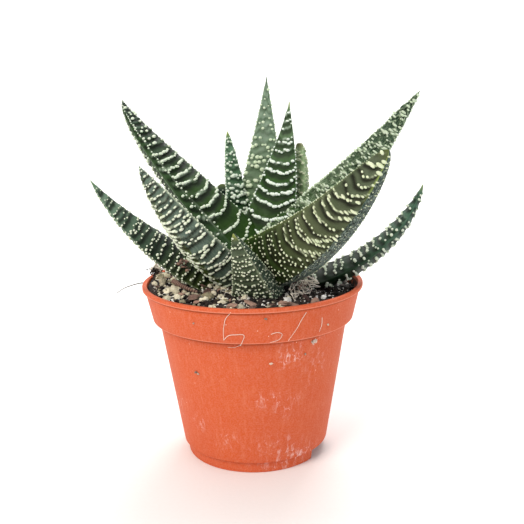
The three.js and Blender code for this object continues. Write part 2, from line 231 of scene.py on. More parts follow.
def leafSkin(name, colours):
    # living haworthia leaf: waxy satin skin, vivid at the clasping base and yellow-green at the tip,
    # with hard cream tubercles that stand out pale against it
    c = {**plainSkin, "facetShadeAndSheen": colours["body"], "edge": colours["bead"], "vein": colours["bead"], **colours}
    material, tree, place = newMaterial("leafSkin_" + name)
    along, bead, band, facetShadeAndSheen, edge, paintedShade, run, girth = (
        addNode(tree, "ShaderNodeAttribute", {"attribute_name": key}).outputs["Fac"]
        for key in skinAttributes)
    # toward the tip the upper colour is the leaf's own, and on some leaves also painted blue-grey sheen
    lengthwise = addNode(tree, "ShaderNodeValToRGB", {"Fac": along}, [
        (c["baseEnd"], c["base"]), (c["bodyStart"], c["body"]), (0.8, c["upper"]), (0.95, c["upper"]),
        (0.995, c["tip"])]).outputs[0]
    # pale veins along the leaf, 0.6 mm wide, on the facet painted with shade and sheen and wherever the skin
    # is veined; run and girth are in mm
    flattened = addNode(tree, "ShaderNodeCombineXYZ", {"X": run, "Y": girth}).outputs[0]
    lengthened = addNode(tree, "ShaderNodeMapping", {"Vector": flattened, "Scale": (0.4, 1, 1)}).outputs[0]
    veins = addNode(tree, "ShaderNodeTexNoise", {
        "Vector": lengthened, "Scale": 1 / 0.6, "Detail": 2, "Distortion": 0.8}).outputs["Fac"]
    veined = addNode(tree, "ShaderNodeMath", {
        "operation": "MULTIPLY_ADD", 0: facetShadeAndSheen, 1: c["facetVeins"], 2: c["veins"]}).outputs[0]
    patches, cells, tint = (
        addNode(tree, "ShaderNodeTexNoise", {
            "Vector": place, "Scale": perMm(size), "Detail": detail}).outputs["Fac"]
        for size, detail in (
            (4, 3),  # soft light and dark patches, as the tissue shows through the skin
            (0.25, 2),  # skin cells, a fine grain that keeps the skin from looking like plastic
            (2.5, 1)))  # the tubercles' own change from cream to near white
    pearl = layered(tree, c["bead"], [("MIX", c["pearl"], tint)])
    colour = layered(tree, lengthwise, [
        # painted shade and sheen on one facet of the leaf: darker on some leaves, blue-grey on others, as
        # light falls on it
        ("MIX", c["facetShadeAndSheen"], facetShadeAndSheen),
        ("MIX", c["paintedShade"], paintedShade),  # painted shade: the skin darker between the swollen bands and just below each band
        ("MIX", c["vein"], veined, (veins, 0.47, 0.6, 0, 0.75)),
        ("SOFT_LIGHT", c["upper"], (patches, 0.35, 0.7, 0, 0.45)),
        ("MULTIPLY", "#101a10", (cells, 0.3, 0.7, 0, 0.3)),
        ("MIX", c["edge"], edge),
        ("MIX", c["bead"], band),
        ("MIX", pearl, bead)])
    roughness = addNode(tree, "ShaderNodeMapRange", {
        "Value": patches, "From Min": 0.3, "From Max": 0.7, "To Min": 0.42, "To Max": 0.6})
    bump = addNode(tree, "ShaderNodeBump", {"Height": cells, "Strength": 0.25, "Distance": 0.06 * mm})
    return finishMaterial(material, {
        "Base Color": colour, "Roughness": roughness.outputs[0], "Normal": bump.outputs[0],
        "Specular IOR Level": 0.13, "Subsurface Weight": 0.06, "Subsurface Radius": (0.4, 1.0, 0.3),
        "Subsurface Scale": 1.2 * mm})


def pottingPeat():
    # damp peat: almost black, rough and crumbly, browner where it has dried, in clods of 3 mm
    material, tree, place = newMaterial("pottingPeat")
    clods = addNode(tree, "ShaderNodeTexNoise", {
        "Vector": place, "Scale": perMm(3), "Detail": 6, "Roughness": 0.65}).outputs["Fac"]
    colour = addNode(tree, "ShaderNodeValToRGB", {"Fac": clods}, [
        (0.3, "#14100e"), (0.48, "#241d1a"), (0.62, "#3a302a"), (0.85, "#6b5a4c")])
    bump = addNode(tree, "ShaderNodeBump", {"Height": clods, "Strength": 0.9, "Distance": 0.6 * mm})
    return finishMaterial(material, {
        "Base Color": colour.outputs[0], "Roughness": 0.92, "Normal": bump.outputs[0]})


def looseGrains(name, dark, pale, roughness, pore):
    # matte, porous bits: each takes its own shade from the "tone" it was given, and pores of so many mm
    # roughen it. Perlite comes out chalky, pumice cream, bark brown and peat near black
    material, tree, place = newMaterial(name)
    tone = addNode(tree, "ShaderNodeAttribute", {"attribute_name": "tone"}).outputs["Fac"]
    pores = addNode(tree, "ShaderNodeTexNoise", {
        "Vector": place, "Scale": perMm(pore), "Detail": 4}).outputs["Fac"]
    colour = layered(tree, dark, [("MIX", pale, tone), ("OVERLAY", pores, 0.55)])
    bump = addNode(tree, "ShaderNodeBump", {"Height": pores, "Strength": 0.7, "Distance": 0.3 * mm})
    return finishMaterial(material, {
        "Base Color": colour, "Roughness": roughness, "Normal": bump.outputs[0]})


def mouldedPolypropylene():
    # injection-moulded polypropylene, terracotta orange: satin, faintly translucent, scuffed and dusty, with
    # painted shade in its creases and painted highlights on its edges
    material, tree, place = newMaterial("mouldedPolypropylene")
    smear, darkInside = (
        addNode(tree, "ShaderNodeAttribute", {"attribute_name": key}).outputs["Fac"]
        for key in ("smear", "darkInside"))
    upright, slanting = (
        addNode(tree, "ShaderNodeMapping", {
            "Vector": place, "Rotation": turn, "Scale": (1, 1, drawnOut)}).outputs[0]
        for turn, drawnOut in (((0, 0, 0), 0.06), ((0, 0.9, 0.5), 0.3)))
    flow, streaks, grain, strokes, blots = (
        addNode(tree, "ShaderNodeTexNoise", {
            "Vector": where, "Scale": perMm(size), "Detail": detail, "Roughness": rough,
            "Distortion": bent})
        for where, size, detail, rough, bent in (
            (place, 28, 2, 0.5, 0),  # flow of the melt: broad, soft changes of shade
            (upright, 1.3, 4, 0.6, 0),  # fine streaks down the wall, 20 mm long
            (place, 0.5, 2, 0.5, 0),  # grain of the dusty skin
            (slanting, 1.6, 5, 0.7, 0.6),  # slanting strokes, 5 mm long
            (place, 2.5, 5, 0.5, 0)))  # blots on the darker inside wall
    lines = []
    for size, bend in ((3.5, 6), (11, 12)):  # borders of cells, bent out of shape by so many mm at most
        shifted = addNode(tree, "ShaderNodeMix", {
            "data_type": "RGBA", "blend_type": "ADD", mixShare: bend * mm, mixUnder: place,
            mixOver: strokes.outputs["Color"]}).outputs[mixResult]
        lines.append(addNode(tree, "ShaderNodeTexVoronoi", {
            "feature": "DISTANCE_TO_EDGE", "Vector": shifted, "Scale": perMm(size)}).outputs["Distance"])
    scrawls, scratches = lines
    grit = addNode(tree, "ShaderNodeTexVoronoi", {"Vector": place, "Scale": perMm(4.5)}).outputs["Distance"]
    # belts round the pot, of painted shade in the creases and painted highlights on the edges, as heights in
    # mm where each starts, is full, starts to end and ends
    low, high = 50, 70
    none, full = "#000000", "#ffffff"
    height = addNode(tree, "ShaderNodeSeparateXYZ", {"Vector": place}).outputs["Z"]
    level = addNode(tree, "ShaderNodeMapRange", {
        "Value": height, "From Min": low * mm, "From Max": high * mm}).outputs[0]
    creaseShade, edgeHighlights = (
        addNode(tree, "ShaderNodeValToRGB", {"Fac": level}, [
            ((z - low) / (high - low), shade)
            for belt in belts for z, shade in zip(belt, (none, full, full, none))]).outputs[0]
        for belts in (((52.6, 53.3, 54.16, 54.28), (65.1, 65.6, 66.06, 66.16)),
                      ((54.16, 54.28, 54.52, 54.7), (66.06, 66.16, 66.44, 66.64))))
    stroked = addNode(tree, "ShaderNodeMapRange", {
        "Value": strokes.outputs["Fac"], "From Min": 0.54, "From Max": 0.72, "To Max": 0.8}).outputs[0]
    limed = addNode(tree, "ShaderNodeMath", {"operation": "MULTIPLY", 0: smear, 1: stroked}).outputs[0]
    colour = layered(tree, "#d05a2b", [
        ("MIX", "#c65533", flow.outputs["Fac"]),
        ("MIX", "#e28f6e", (streaks.outputs["Fac"], 0.5, 0.8, 0, 0.25)),
        ("MIX", "#eab29a", (grain.outputs["Fac"], 0.35, 0.75, 0, 0.2)),
        ("MIX", "#8e3a1e", 0.6, creaseShade),  # painted shade in the creases under the collar and under the lip
        ("MIX", "#f2ab90", 0.35, edgeHighlights),  # painted highlights on the edges at the foot of the collar and of the lip
        ("MIX", "#f0cfc8", limed),  # smears of dry lime where the pot was handled
        # fine scrawls of lime in the same places, 0.15 mm wide and broken up
        ("MIX", "#f3d2cb", smear, (scrawls, 0.015, 0.04, 1.2, 0),
         (strokes.outputs["Fac"], 0.48, 0.56, 0, 1)),
        ("MIX", "#f3c5b5", stroked, (scratches, 0.004, 0.012, 0.5, 0)),  # hair-thin scratches
        ("MIX", "#efcdb8", (grit, 0.03, 0.05, 0.9, 0)),  # pale grit, 0.4 mm
        ("MIX", "#2b201b", darkInside, (blots.outputs["Fac"], 0.3, 0.5, 0.6, 1))])  # the inside wall darker below the lip, in blots
    roughness = addNode(tree, "ShaderNodeMapRange", {"Value": limed, "To Min": 0.5, "To Max": 0.7})
    bump = addNode(tree, "ShaderNodeBump", {
        "Height": streaks.outputs["Fac"], "Strength": 0.12, "Distance": 0.2 * mm})
    return finishMaterial(material, {
        "Base Color": colour, "Roughness": roughness.outputs[0], "Normal": bump.outputs[0],
        "Specular IOR Level": 0.06, "Subsurface Weight": 0.05, "Subsurface Radius": (1.0, 0.35, 0.2),
        "Subsurface Scale": 1 * mm})


def blotched(name, colour, other, size, detail, roughness):
    # a matte stuff of two near shades, in blotches of so many mm
    material, tree, place = newMaterial(name)
    blotches = addNode(tree, "ShaderNodeTexNoise", {
        "Vector": place, "Scale": perMm(size), "Detail": detail}).outputs["Fac"]
    mixed = layered(tree, colour, [("MIX", other, blotches)])
    return finishMaterial(material, {"Base Color": mixed, "Roughness": roughness})


dryRoot = blotched("dryRoot", "#d4c6b0", "#fffaf0", 3, 3, 0.8)  # straw-coloured, matte, darker in places


# Camera, at the photograph's angle

cameraValues = {
    "elevation": 12.37,  # degrees above the horizon
    "roll": -1.07,
    "aim": (3.8, 0, 74.63),
    "distance": 300,
    "focal": 53.31, "sensor": 36,
    "clip": (0.01, 20),  # metres
}


def makeCamera(v):
    # a camera that looks along +Y and down by its elevation at the aim, rolled about its line of sight
    elevation, roll = math.radians(v["elevation"]), math.radians(v["roll"])
    ahead = np.array([0, math.cos(elevation), -math.sin(elevation)])
    right = np.array([1.0, 0, 0])
    above = np.cross(right, ahead)
    x = math.cos(roll) * right + math.sin(roll) * above
    y = math.cos(roll) * above - math.sin(roll) * right
    spot = (np.array(v["aim"]) - ahead * v["distance"]) * mm
    data = bpy.data.cameras.new("camera")
    data.lens, data.sensor_width = v["focal"], v["sensor"]
    data.clip_start, data.clip_end = v["clip"]
    camera = bpy.data.objects.new("camera", data)
    bpy.context.scene.collection.objects.link(camera)
    camera.matrix_world = Matrix([[x[i], y[i], -ahead[i], spot[i]] for i in range(3)] + [[0, 0, 0, 1]])
    bpy.context.scene.camera = camera


makeCamera(cameraValues)
print("camera placed")


# Leaves

# how the tubercles lie on a face of a leaf that doesn't say otherwise
plainFace = dict(
    count=12,  # bands
    first=0.12, last=0.95,  # the first and the last, as shares of the length
    grow=0.0,  # how much the space between bands grows toward the tip
    step=1.5, bead=1.0, long=0.3,  # mm between tubercles, their size in mm, and how much wider than long
    bend=1.0, low=0.0,  # mm that a band bows toward the tip, and its lowest place across the face, -1 to 1
    wander=0.5, scatter=0.3,  # mm of unevenness of a band, and of its tubercles about it
    gaps=0.1, sparse=0.0,  # share of tubercles left out, and further share toward the tip
    alternate=2.0,  # place along the leaf from which every second one is left out
    joined=0.15, split=2.0,  # how far tubercles run together, less so past the split across the face
    jointFrom=-1.0, jointTo=2.0,  # where along the leaf they do
    small=1.0, shrink=0.45,  # size past the middle of the face, and share of it lost toward the tip
    swell=0.3)  # mm that the skin swells under a band

# what a leaf has unless it says otherwise
plainLeaf = dict(
    sway=0, lead=0, keel=0, roll=0, rootTurn=0, blunt=1, slot="leaf_teal",
    edge=(1.6, 0.8),  # mm between the beads of a margin, and their size
    edgeLine=0.45, keelLine=0,  # strength of the pale lines on the margins and on the keel
    keelFrom=0,  # where along the leaf the keel's line starts
    paintedShadeStrength=0.5,  # strength of the painted shade between and below the bands
    fold=(1, 1))  # place across the inner face past which the back shows, at foot and tip

# the three low leaves behind
lowLeaf = dict(
    bow=5, width=18, depth=7, taper=1.7,
    inner=dict(count=14, step=1.3, joined=0.35),
    outer=dict(count=18, step=1.4, joined=0.35, long=0.5),
    skin=dict(base="#33491c", body="#22382a", upper="#2f4637", tip="#71894c", bead="#c3cfae"))

# The shape of each leaf as in the solids: its azimuth, where its spine starts and ends as (distance from
# the axis, height), how far it sags (bow) and sways, and how far toward the tip the bend leads. Then its
# width and depth, the place of the keel across its back, the roll of its section, and how it tapers to a
# blunt or sharp tip. rootTurn is how far its foot stands aside. Angles are in degrees.
leafValues = {
    "leaf_heart_centre": dict(
        azimuth=53.3, root=(4.5, 78), tip=(26.5, 135), bow=3, sway=-0.5, width=22.6, depth=5,
        keel=0.65, roll=19, taper=1.55, blunt=1.15, slot="leaf_green", edge=(1.7, 0.85), edgeLine=0.2,
        paintedShadeStrength=0.7,
        inner=dict(count=14, first=0.05, last=0.93, grow=-0.3, step=1.1, bead=1.32, bend=5.5,
                   low=0.1, wander=0.8, scatter=0.2, gaps=0.04, joined=0.4, sparse=0.2, swell=0.45),
        outer=dict(count=18),
        skin=dict(base="#27490f", body="#355a22", upper="#65805c", tip="#a9b86a", bead="#dbebda",
                  pearl="#f0f8ee", bodyStart=0.5, paintedShade="#081404")),
    "leaf_left_tall": dict(
        azimuth=144, root=(2, 81), tip=(66, 136.5), bow=-2.5, sway=7.5, lead=0.3, width=25,
        depth=10, keel=0.7, roll=-17, taper=0.9, blunt=1.17, slot="leaf_green", edge=(1.5, 0.85),
        edgeLine=0.2, paintedShadeStrength=0.9, fold=(0.55, 0.8),
        inner=dict(count=23, first=0.02, grow=-0.2, step=1.1, bead=1.2, bend=3.9, wander=0.6,
                   scatter=0.16, gaps=0.04, joined=0.6, jointTo=0.42, shrink=0.05, swell=0.5, sparse=0.1,
                   alternate=0.46),
        outer=dict(count=30, step=1.2, scatter=0.5, joined=0.3),
        skin=dict(base="#28480e", body="#26441f", upper="#445a4a", tip="#7d9450", bead="#c3d5bd",
                  facetShadeAndSheen="#34522a", paintedShade="#0a1405")),
    "leaf_back_tall": dict(
        azimuth=79.2, root=(5.5, 74), tip=(38, 145), bow=7.5, sway=0.4, lead=-0.1, width=24,
        depth=6, keel=0.65, roll=7, taper=1.7, blunt=1.05, slot="leaf_grey", edge=(1.8, 1.2), edgeLine=0.25,
        inner=dict(count=27, first=0.1, step=2.1, bead=1.75, bend=0.8, wander=1.4, scatter=0.9,
                   gaps=0.2, joined=0.1, long=0.15, swell=0.6),
        outer=dict(count=20, step=1.8, bead=1.1),
        skin=dict(base="#3a7424", body="#6b8063", upper="#8b9f8b", tip="#3f5632", bead="#c4d8b6",
                  pearl="#dce6cb", paintedShade="#35502c")),
    "leaf_heart_left": dict(
        azimuth=108.8, root=(5.5, 74), tip=(29, 123.5), bow=3.5, sway=-0.7, width=12.5, depth=4.5,
        keel=0.2, roll=22, taper=2.1, blunt=0.75, slot="leaf_green", edge=(1.4, 0.95), edgeLine=0.2,
        inner=dict(count=20, first=0.1, step=1.35, bead=1.4, bend=2.0, wander=0.9, scatter=0.4,
                   joined=0.25, swell=0.45),
        outer=dict(count=18),
        skin=dict(base="#2a5f1c", body="#2c4a28", upper="#6c9170", tip="#b4bb66", bead="#d2e6d2")),
    "leaf_front_right_broad": dict(
        azimuth=-52, root=(4.5, 74.5), tip=(70, 121), bow=7, sway=-3.5, lead=0.05, width=26,
        depth=9.5, keel=0.52, roll=-55, taper=1.2, blunt=0.55, slot="leaf_olive", edge=(1.5, 0.6),
        edgeLine=0.1, keelLine=0.7, keelFrom=0.75, paintedShadeStrength=0.9,
        inner=dict(count=18),
        outer=dict(count=25, first=0.03, last=0.983, grow=0.42, step=1.4, bead=0.72, bend=22,
                   low=-0.68, wander=1.5, joined=1.4, shrink=-0.75, small=0.4, jointFrom=0.42, long=0.2,
                   swell=0.4),
        skin=dict(base="#2b4412", body="#5a6243", upper="#5d6850", tip="#5f6a3a", bead="#c8d3ae",
                  pearl="#e2e9c9", facetShadeAndSheen="#2c463e", facetVeins=1.0, edge="#98ad55", vein="#9fb0a6",
                  paintedShade="#171509", baseEnd=0.15)),
    "leaf_right_long": dict(
        azimuth=12, root=(5, 73), tip=(67.7, 138.3), bow=3.1, sway=1.5, width=25, depth=7, roll=62,
        taper=1.2, blunt=0.92, slot="leaf_green", edge=(1.4, 1.5), edgeLine=0.2,
        inner=dict(count=38, first=0.06, last=0.97, step=0.9, bead=0.72, bend=-2.0, wander=2.4,
                   scatter=0.55, gaps=0.08, joined=1.1, shrink=-0.35, long=0.9, swell=1.4),
        outer=dict(count=36, first=0.08, last=0.97, step=1.4, bead=1.3, bend=-2.5, wander=2.0,
                   scatter=0.8, joined=0.6, long=0.7, swell=0.7),
        skin=dict(base="#3a5722", body="#4d6344", upper="#38523f", tip="#57764a", bead="#b0c2a1",
                  pearl="#d8e5ce", paintedShade="#1c3220", veins=0.7, vein="#9fb392")),
    "leaf_back_right_blunt": dict(
        azimuth=49.4, root=(6.5, 69), tip=(30, 118.5), bow=7, sway=-2, lead=-0.1, width=14,
        depth=5.5, roll=-27, taper=2.2, blunt=0.3, slot="leaf_olive", edge=(1.6, 0.7), edgeLine=0.1,
        paintedShadeStrength=0.25,
        inner=dict(count=19, step=1.1, bead=0.9, bend=-3.0, wander=0.8, joined=1.4, shrink=-0.3,
                   long=0.8, swell=0.5),
        outer=dict(count=24, step=1.3, bead=0.8, joined=1.0, shrink=-0.2),
        skin=dict(base="#3f6a45", body="#7b9068", upper="#96ad86", tip="#85825e", bead="#bfcaa6",
                  pearl="#c9d1b4", paintedShade="#3c5238")),
    "leaf_back_left_blunt": dict(
        azimuth=122, root=(7, 67), tip=(22, 103), bow=5, width=15, depth=5.5, taper=2.2, blunt=0.4,
        slot="leaf_grey",
        inner=dict(step=1.4, bead=0.9),
        outer=dict(count=14, step=1.4, bead=0.9),
        skin=dict(base="#274a1c", body="#253d2b", upper="#3d5345", tip="#6c784c", bead="#b3c1a2")),
    "leaf_front_left": dict(
        azimuth=208, root=(6, 68), tip=(43.8, 114.4), bow=3.5, sway=6.3, lead=0.2, width=21,
        depth=7, roll=28, taper=1.95, edge=(1.6, 0.6), edgeLine=0.5, paintedShadeStrength=0.9,
        inner=dict(count=18),
        outer=dict(count=25, first=0.04, last=0.97, step=1.35, bead=1.05, bend=2.2, low=0.3,
                   wander=0.7, scatter=0.25, gaps=0.17, joined=0.9, split=0.1, long=0.8, swell=0.55),
        skin=dict(base="#4f6226", body="#525d3b", upper="#66765a", tip="#7f9a55", bead="#cbd5b9",
                  pearl="#e6edda", facetShadeAndSheen="#62756a", facetVeins=0.12, paintedShade="#12170a")),
    "leaf_back_right_low": dict(lowLeaf, azimuth=66, root=(6, 67), tip=(50, 92)),
    "leaf_back_left_low": dict(lowLeaf, azimuth=128, root=(6, 67), tip=(47, 94)),
    "leaf_back_low": dict(lowLeaf, azimuth=98, root=(6, 66), tip=(52, 93), width=19),
    "leaf_left_low": dict(
        azimuth=188, root=(7, 65), tip=(59.3, 108.4), bow=4.9, sway=-1.5, lead=0.05, width=21.6,
        depth=6, roll=-31, taper=1.75, edge=(2.4, 0.7), edgeLine=0.12, keelLine=0.25, paintedShadeStrength=0.85,
        inner=dict(count=20, bead=0.9),
        outer=dict(count=35, first=0.04, step=1.2, bead=1.05, bend=1.4, wander=1.1, scatter=0.35,
                   gaps=0.06, joined=0.25, long=0.7, swell=0.4),
        skin=dict(base="#46532a", body="#293f2a", upper="#728d76", tip="#6d8f58", bead="#d2debf",
                  pearl="#eef4e0")),
    "leaf_right_low": dict(
        azimuth=-8, root=(7, 65), tip=(64.1, 104.8), bow=9.4, sway=-1, lead=0.1, width=17.4,
        depth=6.5, roll=9, taper=3, edge=(30, 0.5), edgeLine=0.0, paintedShadeStrength=0.75,
        inner=dict(count=18, step=1.9, bead=1.15, gaps=0.2, shrink=0.2, swell=0.4),
        outer=dict(count=24, first=0.04, bead=1.1, wander=0.9, shrink=0.2, joined=0.2, long=0.4,
                   swell=0.25),
        skin=dict(base="#14220f", body="#1d3a23", upper="#4f6f5b", tip="#8fa36a", bead="#b7c4b1")),
    "leaf_front_short": dict(
        azimuth=260, root=(8, 64), tip=(33.5, 92), bow=5, sway=2.5, lead=-0.2, width=23.5, depth=9,
        keel=0.6, roll=20, taper=1.2, blunt=0.7, slot="leaf_grey", edge=(1.2, 0.6), edgeLine=0.25,
        keelLine=0.3, paintedShadeStrength=0.55, rootTurn=22,
        inner={},
        outer=dict(count=27, first=0.03, last=0.97, step=1.2, bead=0.8, bend=3.5, low=-0.6,
                   wander=0.6, gaps=0.15, shrink=0.1, small=0.6),
        skin=dict(base="#3a5526", body="#4d5a45", upper="#596650", tip="#9aa25a", bead="#bfcaa6",
                  facetShadeAndSheen="#2c463a", facetVeins=0.3)),
}

leafMesh = {
    "rows": 144,  # sections along a leaf
    "around": 72,  # points round a section
    "end": 0.988,  # where the last section lies before they are crowded toward the tip
    "beadSides": 8,
    "beadRise": 0.465,  # how far a tubercle stands out, as a share of its width
    "needle": 0.34,  # half width of the soft spine at the tip
    "lumps": (2.5, 0.12, 6, 7),  # size and rise of the skin's own lumps, mm per radian round it, seed
    "sunk": 0.12, "beadLift": 0.05,  # how deep the relief starts, and how high the middle of a bead lies
    "margin": 0.35, "keel": 0.4,  # half widths of the pale lines on them
    "bandWidth": 0.3,  # half width of the pale skin of a band, as a share of its tubercles' size
    "paintedShadeAt": 0.33,  # how far the painted shade lies below its band, as a share of the space between bands
    "paintedShadeWidth": 0.8,  # its half width, as a share of that distance
    "firstSeed": 20,
}

# what the tubercles of every leaf have in common; places along a leaf are shares of its length
beadRules = {
    "uneven": 0.25,  # how far a band is off its even place, as a share of the space between bands
    "loose": 0.3,  # how far a tubercle is off its even place in the row, as a share of the step
    "across": 0.96,  # share of the half width that bears tubercles
    "pastFold": 0.3,  # share of them kept on the strip of a leaf's back
    "thinned": (0.38, 0.58),  # where a sparse face starts to lose some, and where it has lost most
    "sizes": (0.7, 1.2), "stretches": (0.2, 1.2),  # spread of their sizes, and of how far they are widened
    "shrinkFrom": 0.45,
    "atMargin": 0.55,  # size beside a margin, as a share of that in the middle of the face
    "settled": 0.1,  # how deep they are set
    "reach": (0.02, 0.985),
    # the row along a margin: its start and length, its range, how far round the section it wanders (in
    # radians), the spread of its sizes, and the share that they lose toward the tip
    "row": (0.08, 0.9), "rowReach": (0.03, 0.975), "rowWander": 0.12,
    "rowSizes": (0.7, 1.15), "rowShrink": 0.4,
}


def leafSpine(v, s):
    # quadratic curve from root to tip; the section's sideways and upward directions are rolled about it
    angle, roll = math.radians(v["azimuth"]), math.radians(v["roll"])
    side = np.array([-math.sin(angle), math.cos(angle), 0])
    root = polar(v["root"][0], angle + math.radians(v["rootTurn"]), v["root"][1])
    tip = polar(v["tip"][0], angle, v["tip"][1])
    chord = tip - root
    middle = (root + tip) / 2 - 2 * v["bow"] * np.cross(unit(chord), side) + 2 * v["sway"] * side
    middle = middle + v["lead"] * chord
    t = s[..., None]
    centre = arc(root, middle, tip, t)
    along = unit((1 - t) * (middle - root) + t * (tip - middle))
    across = unit(side - along * (along @ side)[..., None])
    above = np.cross(along, across)
    rolledAcross = across * math.cos(roll) + above * math.sin(roll)
    rolledAbove = above * math.cos(roll) - across * math.sin(roll)
    return centre, rolledAcross, rolledAbove


def leafSizes(v, s):
    # half width, depth of the outer face and rise of the inner face at s. The leaf widens over its first
    # quarter, narrows as (1 - s to the taper) to the power blunt, and ends in a soft needle
    rounding = 0.9 + 0.1 * np.sqrt(1 - (1 - np.minimum(s / 0.06, 1)) ** 2)
    widening = 0.85 + 0.15 * np.clip(s / 0.25, 0, 1) ** 0.7
    fullness = np.clip(1 - s ** v["taper"], 0, 1) ** v["blunt"] * widening * rounding
    needle = leafMesh["needle"] * np.sqrt(np.clip((1 - s) / 0.025, 0, 1))
    half = np.maximum(v["width"] / 2 * fullness, needle)
    depth = np.maximum(v["depth"] * fullness ** 0.75 * (1 - 0.25 * s), needle)
    return half, depth, np.maximum(v["depth"] * (0.1 + 0.25 * s) * fullness ** 0.9, needle * 0.8)


def leafPoint(v, s, turn):
    # turn goes round a section: 0 to pi over the flat inner face, pi to 2 pi over the keeled outer face
    half, depth, rise = leafSizes(v, s)
    c = np.clip(np.cos(turn), -1, 1)
    inner = turn <= math.pi
    across = np.where(inner, c, v["keel"] + c * np.where(c < 0, 1 + v["keel"], 1 - v["keel"]))
    lift = np.where(inner, rise * (1 - np.abs(c) ** 3) ** 0.7, -depth * (1 - np.abs(c) ** 1.35) ** 0.8)
    centre, sideways, above = leafSpine(v, s)
    return centre + sideways * (half * across)[..., None] + above * lift[..., None]


def leafAxes(v, s, turn):
    # point, direction along the leaf, direction round it and outward normal, from small steps either way
    step = 1e-3
    point = leafPoint(v, s, turn)
    along = unit(leafPoint(v, np.minimum(s + step, 1), turn) - leafPoint(v, np.maximum(s - step, 0), turn))
    around = leafPoint(v, s, turn + 5 * step) - leafPoint(v, s, turn - 5 * step)
    around = unit(around - along * (around * along).sum(-1, keepdims=True))
    return point, along, around, np.cross(around, along)


def foldAt(v, s):
    # a leaf seen partly from its side shows a strip of its back: c of the fold along the inner face
    start, end = v["fold"]
    return start + (end - start) * s


def bandLines(v, face, seed):
    # where each band crosses the face: s of its middle, how its line runs and how far it is tied together
    random = np.random.default_rng(seed)
    k = np.linspace(0, 1, face["count"])
    k = k + face["grow"] * (k ** 2 - k)
    uneven = random.uniform(-beadRules["uneven"], beadRules["uneven"], len(k)) / face["count"]
    s = face["first"] + (face["last"] - face["first"]) * k + uneven
    phases = random.uniform(0, 2 * math.pi, (3, len(k)))
    widths = leafSizes(v, np.clip(s, 0.15, 1))[0] * 2 / v["width"]

    def offset(c, band):
        # share of the length toward the tip: a bow toward the margins and an uneven wave
        a, b, d = phases[:, band]
        wave = 0.5 * np.sin(2.4 * c + a) + 0.3 * np.sin(6.1 * c + b) + 0.2 * np.sin(11 * c + d)
        return (face["bend"] * (c - face["low"]) ** 2 * widths[band] + face["wander"] * wave) / v["length"]

    def tied(c, band):
        # how far the tubercles run together: in stretches, less beyond the split, only in the joint range
        a, b, d = phases[:, band]
        stretch = smoothStep(np.sin(3.1 * c + b) + 0.6 * np.sin(7.3 * c + d), -0.6, 0.5)
        beyond = 1 - 0.75 * smoothStep(c, face["split"] - 0.1, face["split"] + 0.1)
        started = smoothStep(s[band], face["jointFrom"] - 0.12, face["jointFrom"])
        ended = smoothStep(s[band], face["jointTo"], face["jointTo"] + 0.12)
        return face["joined"] * stretch * beyond * started * (1 - ended)

    return s, offset, tied


def bandBeads(v, face, onInner, lines, random):
    # beads a step apart along each band, measured in mm from the middle of the inner face or from the keel
    s, offset, tied = lines
    rules = beadRules
    half, depth, rise = leafSizes(v, s)
    left = half if onInner else np.hypot(half * (1 + v["keel"]), depth)
    right = half if onInner else np.hypot(half * (1 - v["keel"]), depth)
    most = int((left.max() + right.max()) / face["step"]) + 4
    j = np.arange(-most, most + 1)[None, :]
    shifted = random.uniform(0, 1, (len(s), 1))
    loose = random.uniform(-rules["loose"], rules["loose"], (len(s), j.shape[1]))
    x = (j + shifted + loose) * face["step"]
    c = np.where(x < 0, x / left[:, None], x / right[:, None])
    band = np.broadcast_to(np.arange(len(s))[:, None], c.shape)
    missing = face["gaps"] + face["sparse"] * smoothStep(s, *rules["thinned"])[:, None]
    kept = (np.abs(c) < rules["across"]) & (random.uniform(0, 1, c.shape) > missing)
    kept &= (s[:, None] < face["alternate"]) | (j % 2 == 0)
    if onInner:
        kept &= (c < foldAt(v, s)[:, None] - 0.05) | (random.uniform(0, 1, c.shape) < rules["pastFold"])
    c, band = c[kept], band[kept]
    off = random.normal(0, face["scatter"], len(c))
    place = s[band] + offset(c, band) + off / v["length"]
    lift = face["swell"] * ridge(off) - rules["settled"]
    turn = np.arccos(np.clip(c, -1, 1))
    turn = turn if onInner else 2 * math.pi - turn
    width = face["bead"] * random.uniform(*rules["sizes"], len(c))
    width *= 1 - face["shrink"] * smoothStep(place, rules["shrinkFrom"], 1)
    width *= rules["atMargin"] + (1 - rules["atMargin"]) * smoothStep(np.sin(turn) ** 2, 0, 0.25)
    width *= np.where(c > 0, face["small"], 1)
    long = width * (1 + (face["long"] + tied(c, band)) * random.uniform(*rules["stretches"], len(width)))
    good = (place > rules["reach"][0]) & (place < rules["reach"][1])
    return place[good], turn[good], width[good], long[good], lift[good]


def marginBeads(v, random):
    # a row of small beads along each margin
    rules = beadRules
    places, turns = [], []
    step, size = v["edge"]
    start, reach = rules["row"]
    count = int(v["length"] / step)
    for turn in (0.0, math.pi):
        loose = random.uniform(-rules["loose"], rules["loose"], count)
        places.append(np.clip((np.arange(count) + loose) / count * reach + start, *rules["rowReach"]))
        edge = np.arccos(np.clip(foldAt(v, places[-1]), -1, 1)) if turn == 0 else turn
        turns.append(edge + random.uniform(-rules["rowWander"], rules["rowWander"], count))
    place, turn = np.concatenate(places), np.concatenate(turns) % (2 * math.pi)
    width = size * random.uniform(*rules["rowSizes"], len(place))
    width *= 1 - rules["rowShrink"] * smoothStep(place, 0.5, 1)
    return place, turn, width, width, np.zeros(len(place))


def beadShape(sides):
    # a flattened ball of three rings and two poles
    rings = [polar(np.sin(down), circle(sides), np.cos(down)) for down in np.radians([38, 72, 108])]
    points = np.concatenate([[[0, 0, 1]], *rings, [[0, 0, -0.6]]])
    quads = gridFaces(3, sides)[:, ::-1] + 1
    top = capFaces(np.arange(sides) + 1, 0, False)
    bottom = capFaces(np.arange(sides) + 1 + 2 * sides, len(points) - 1, True)
    return points, [quads, top, bottom]


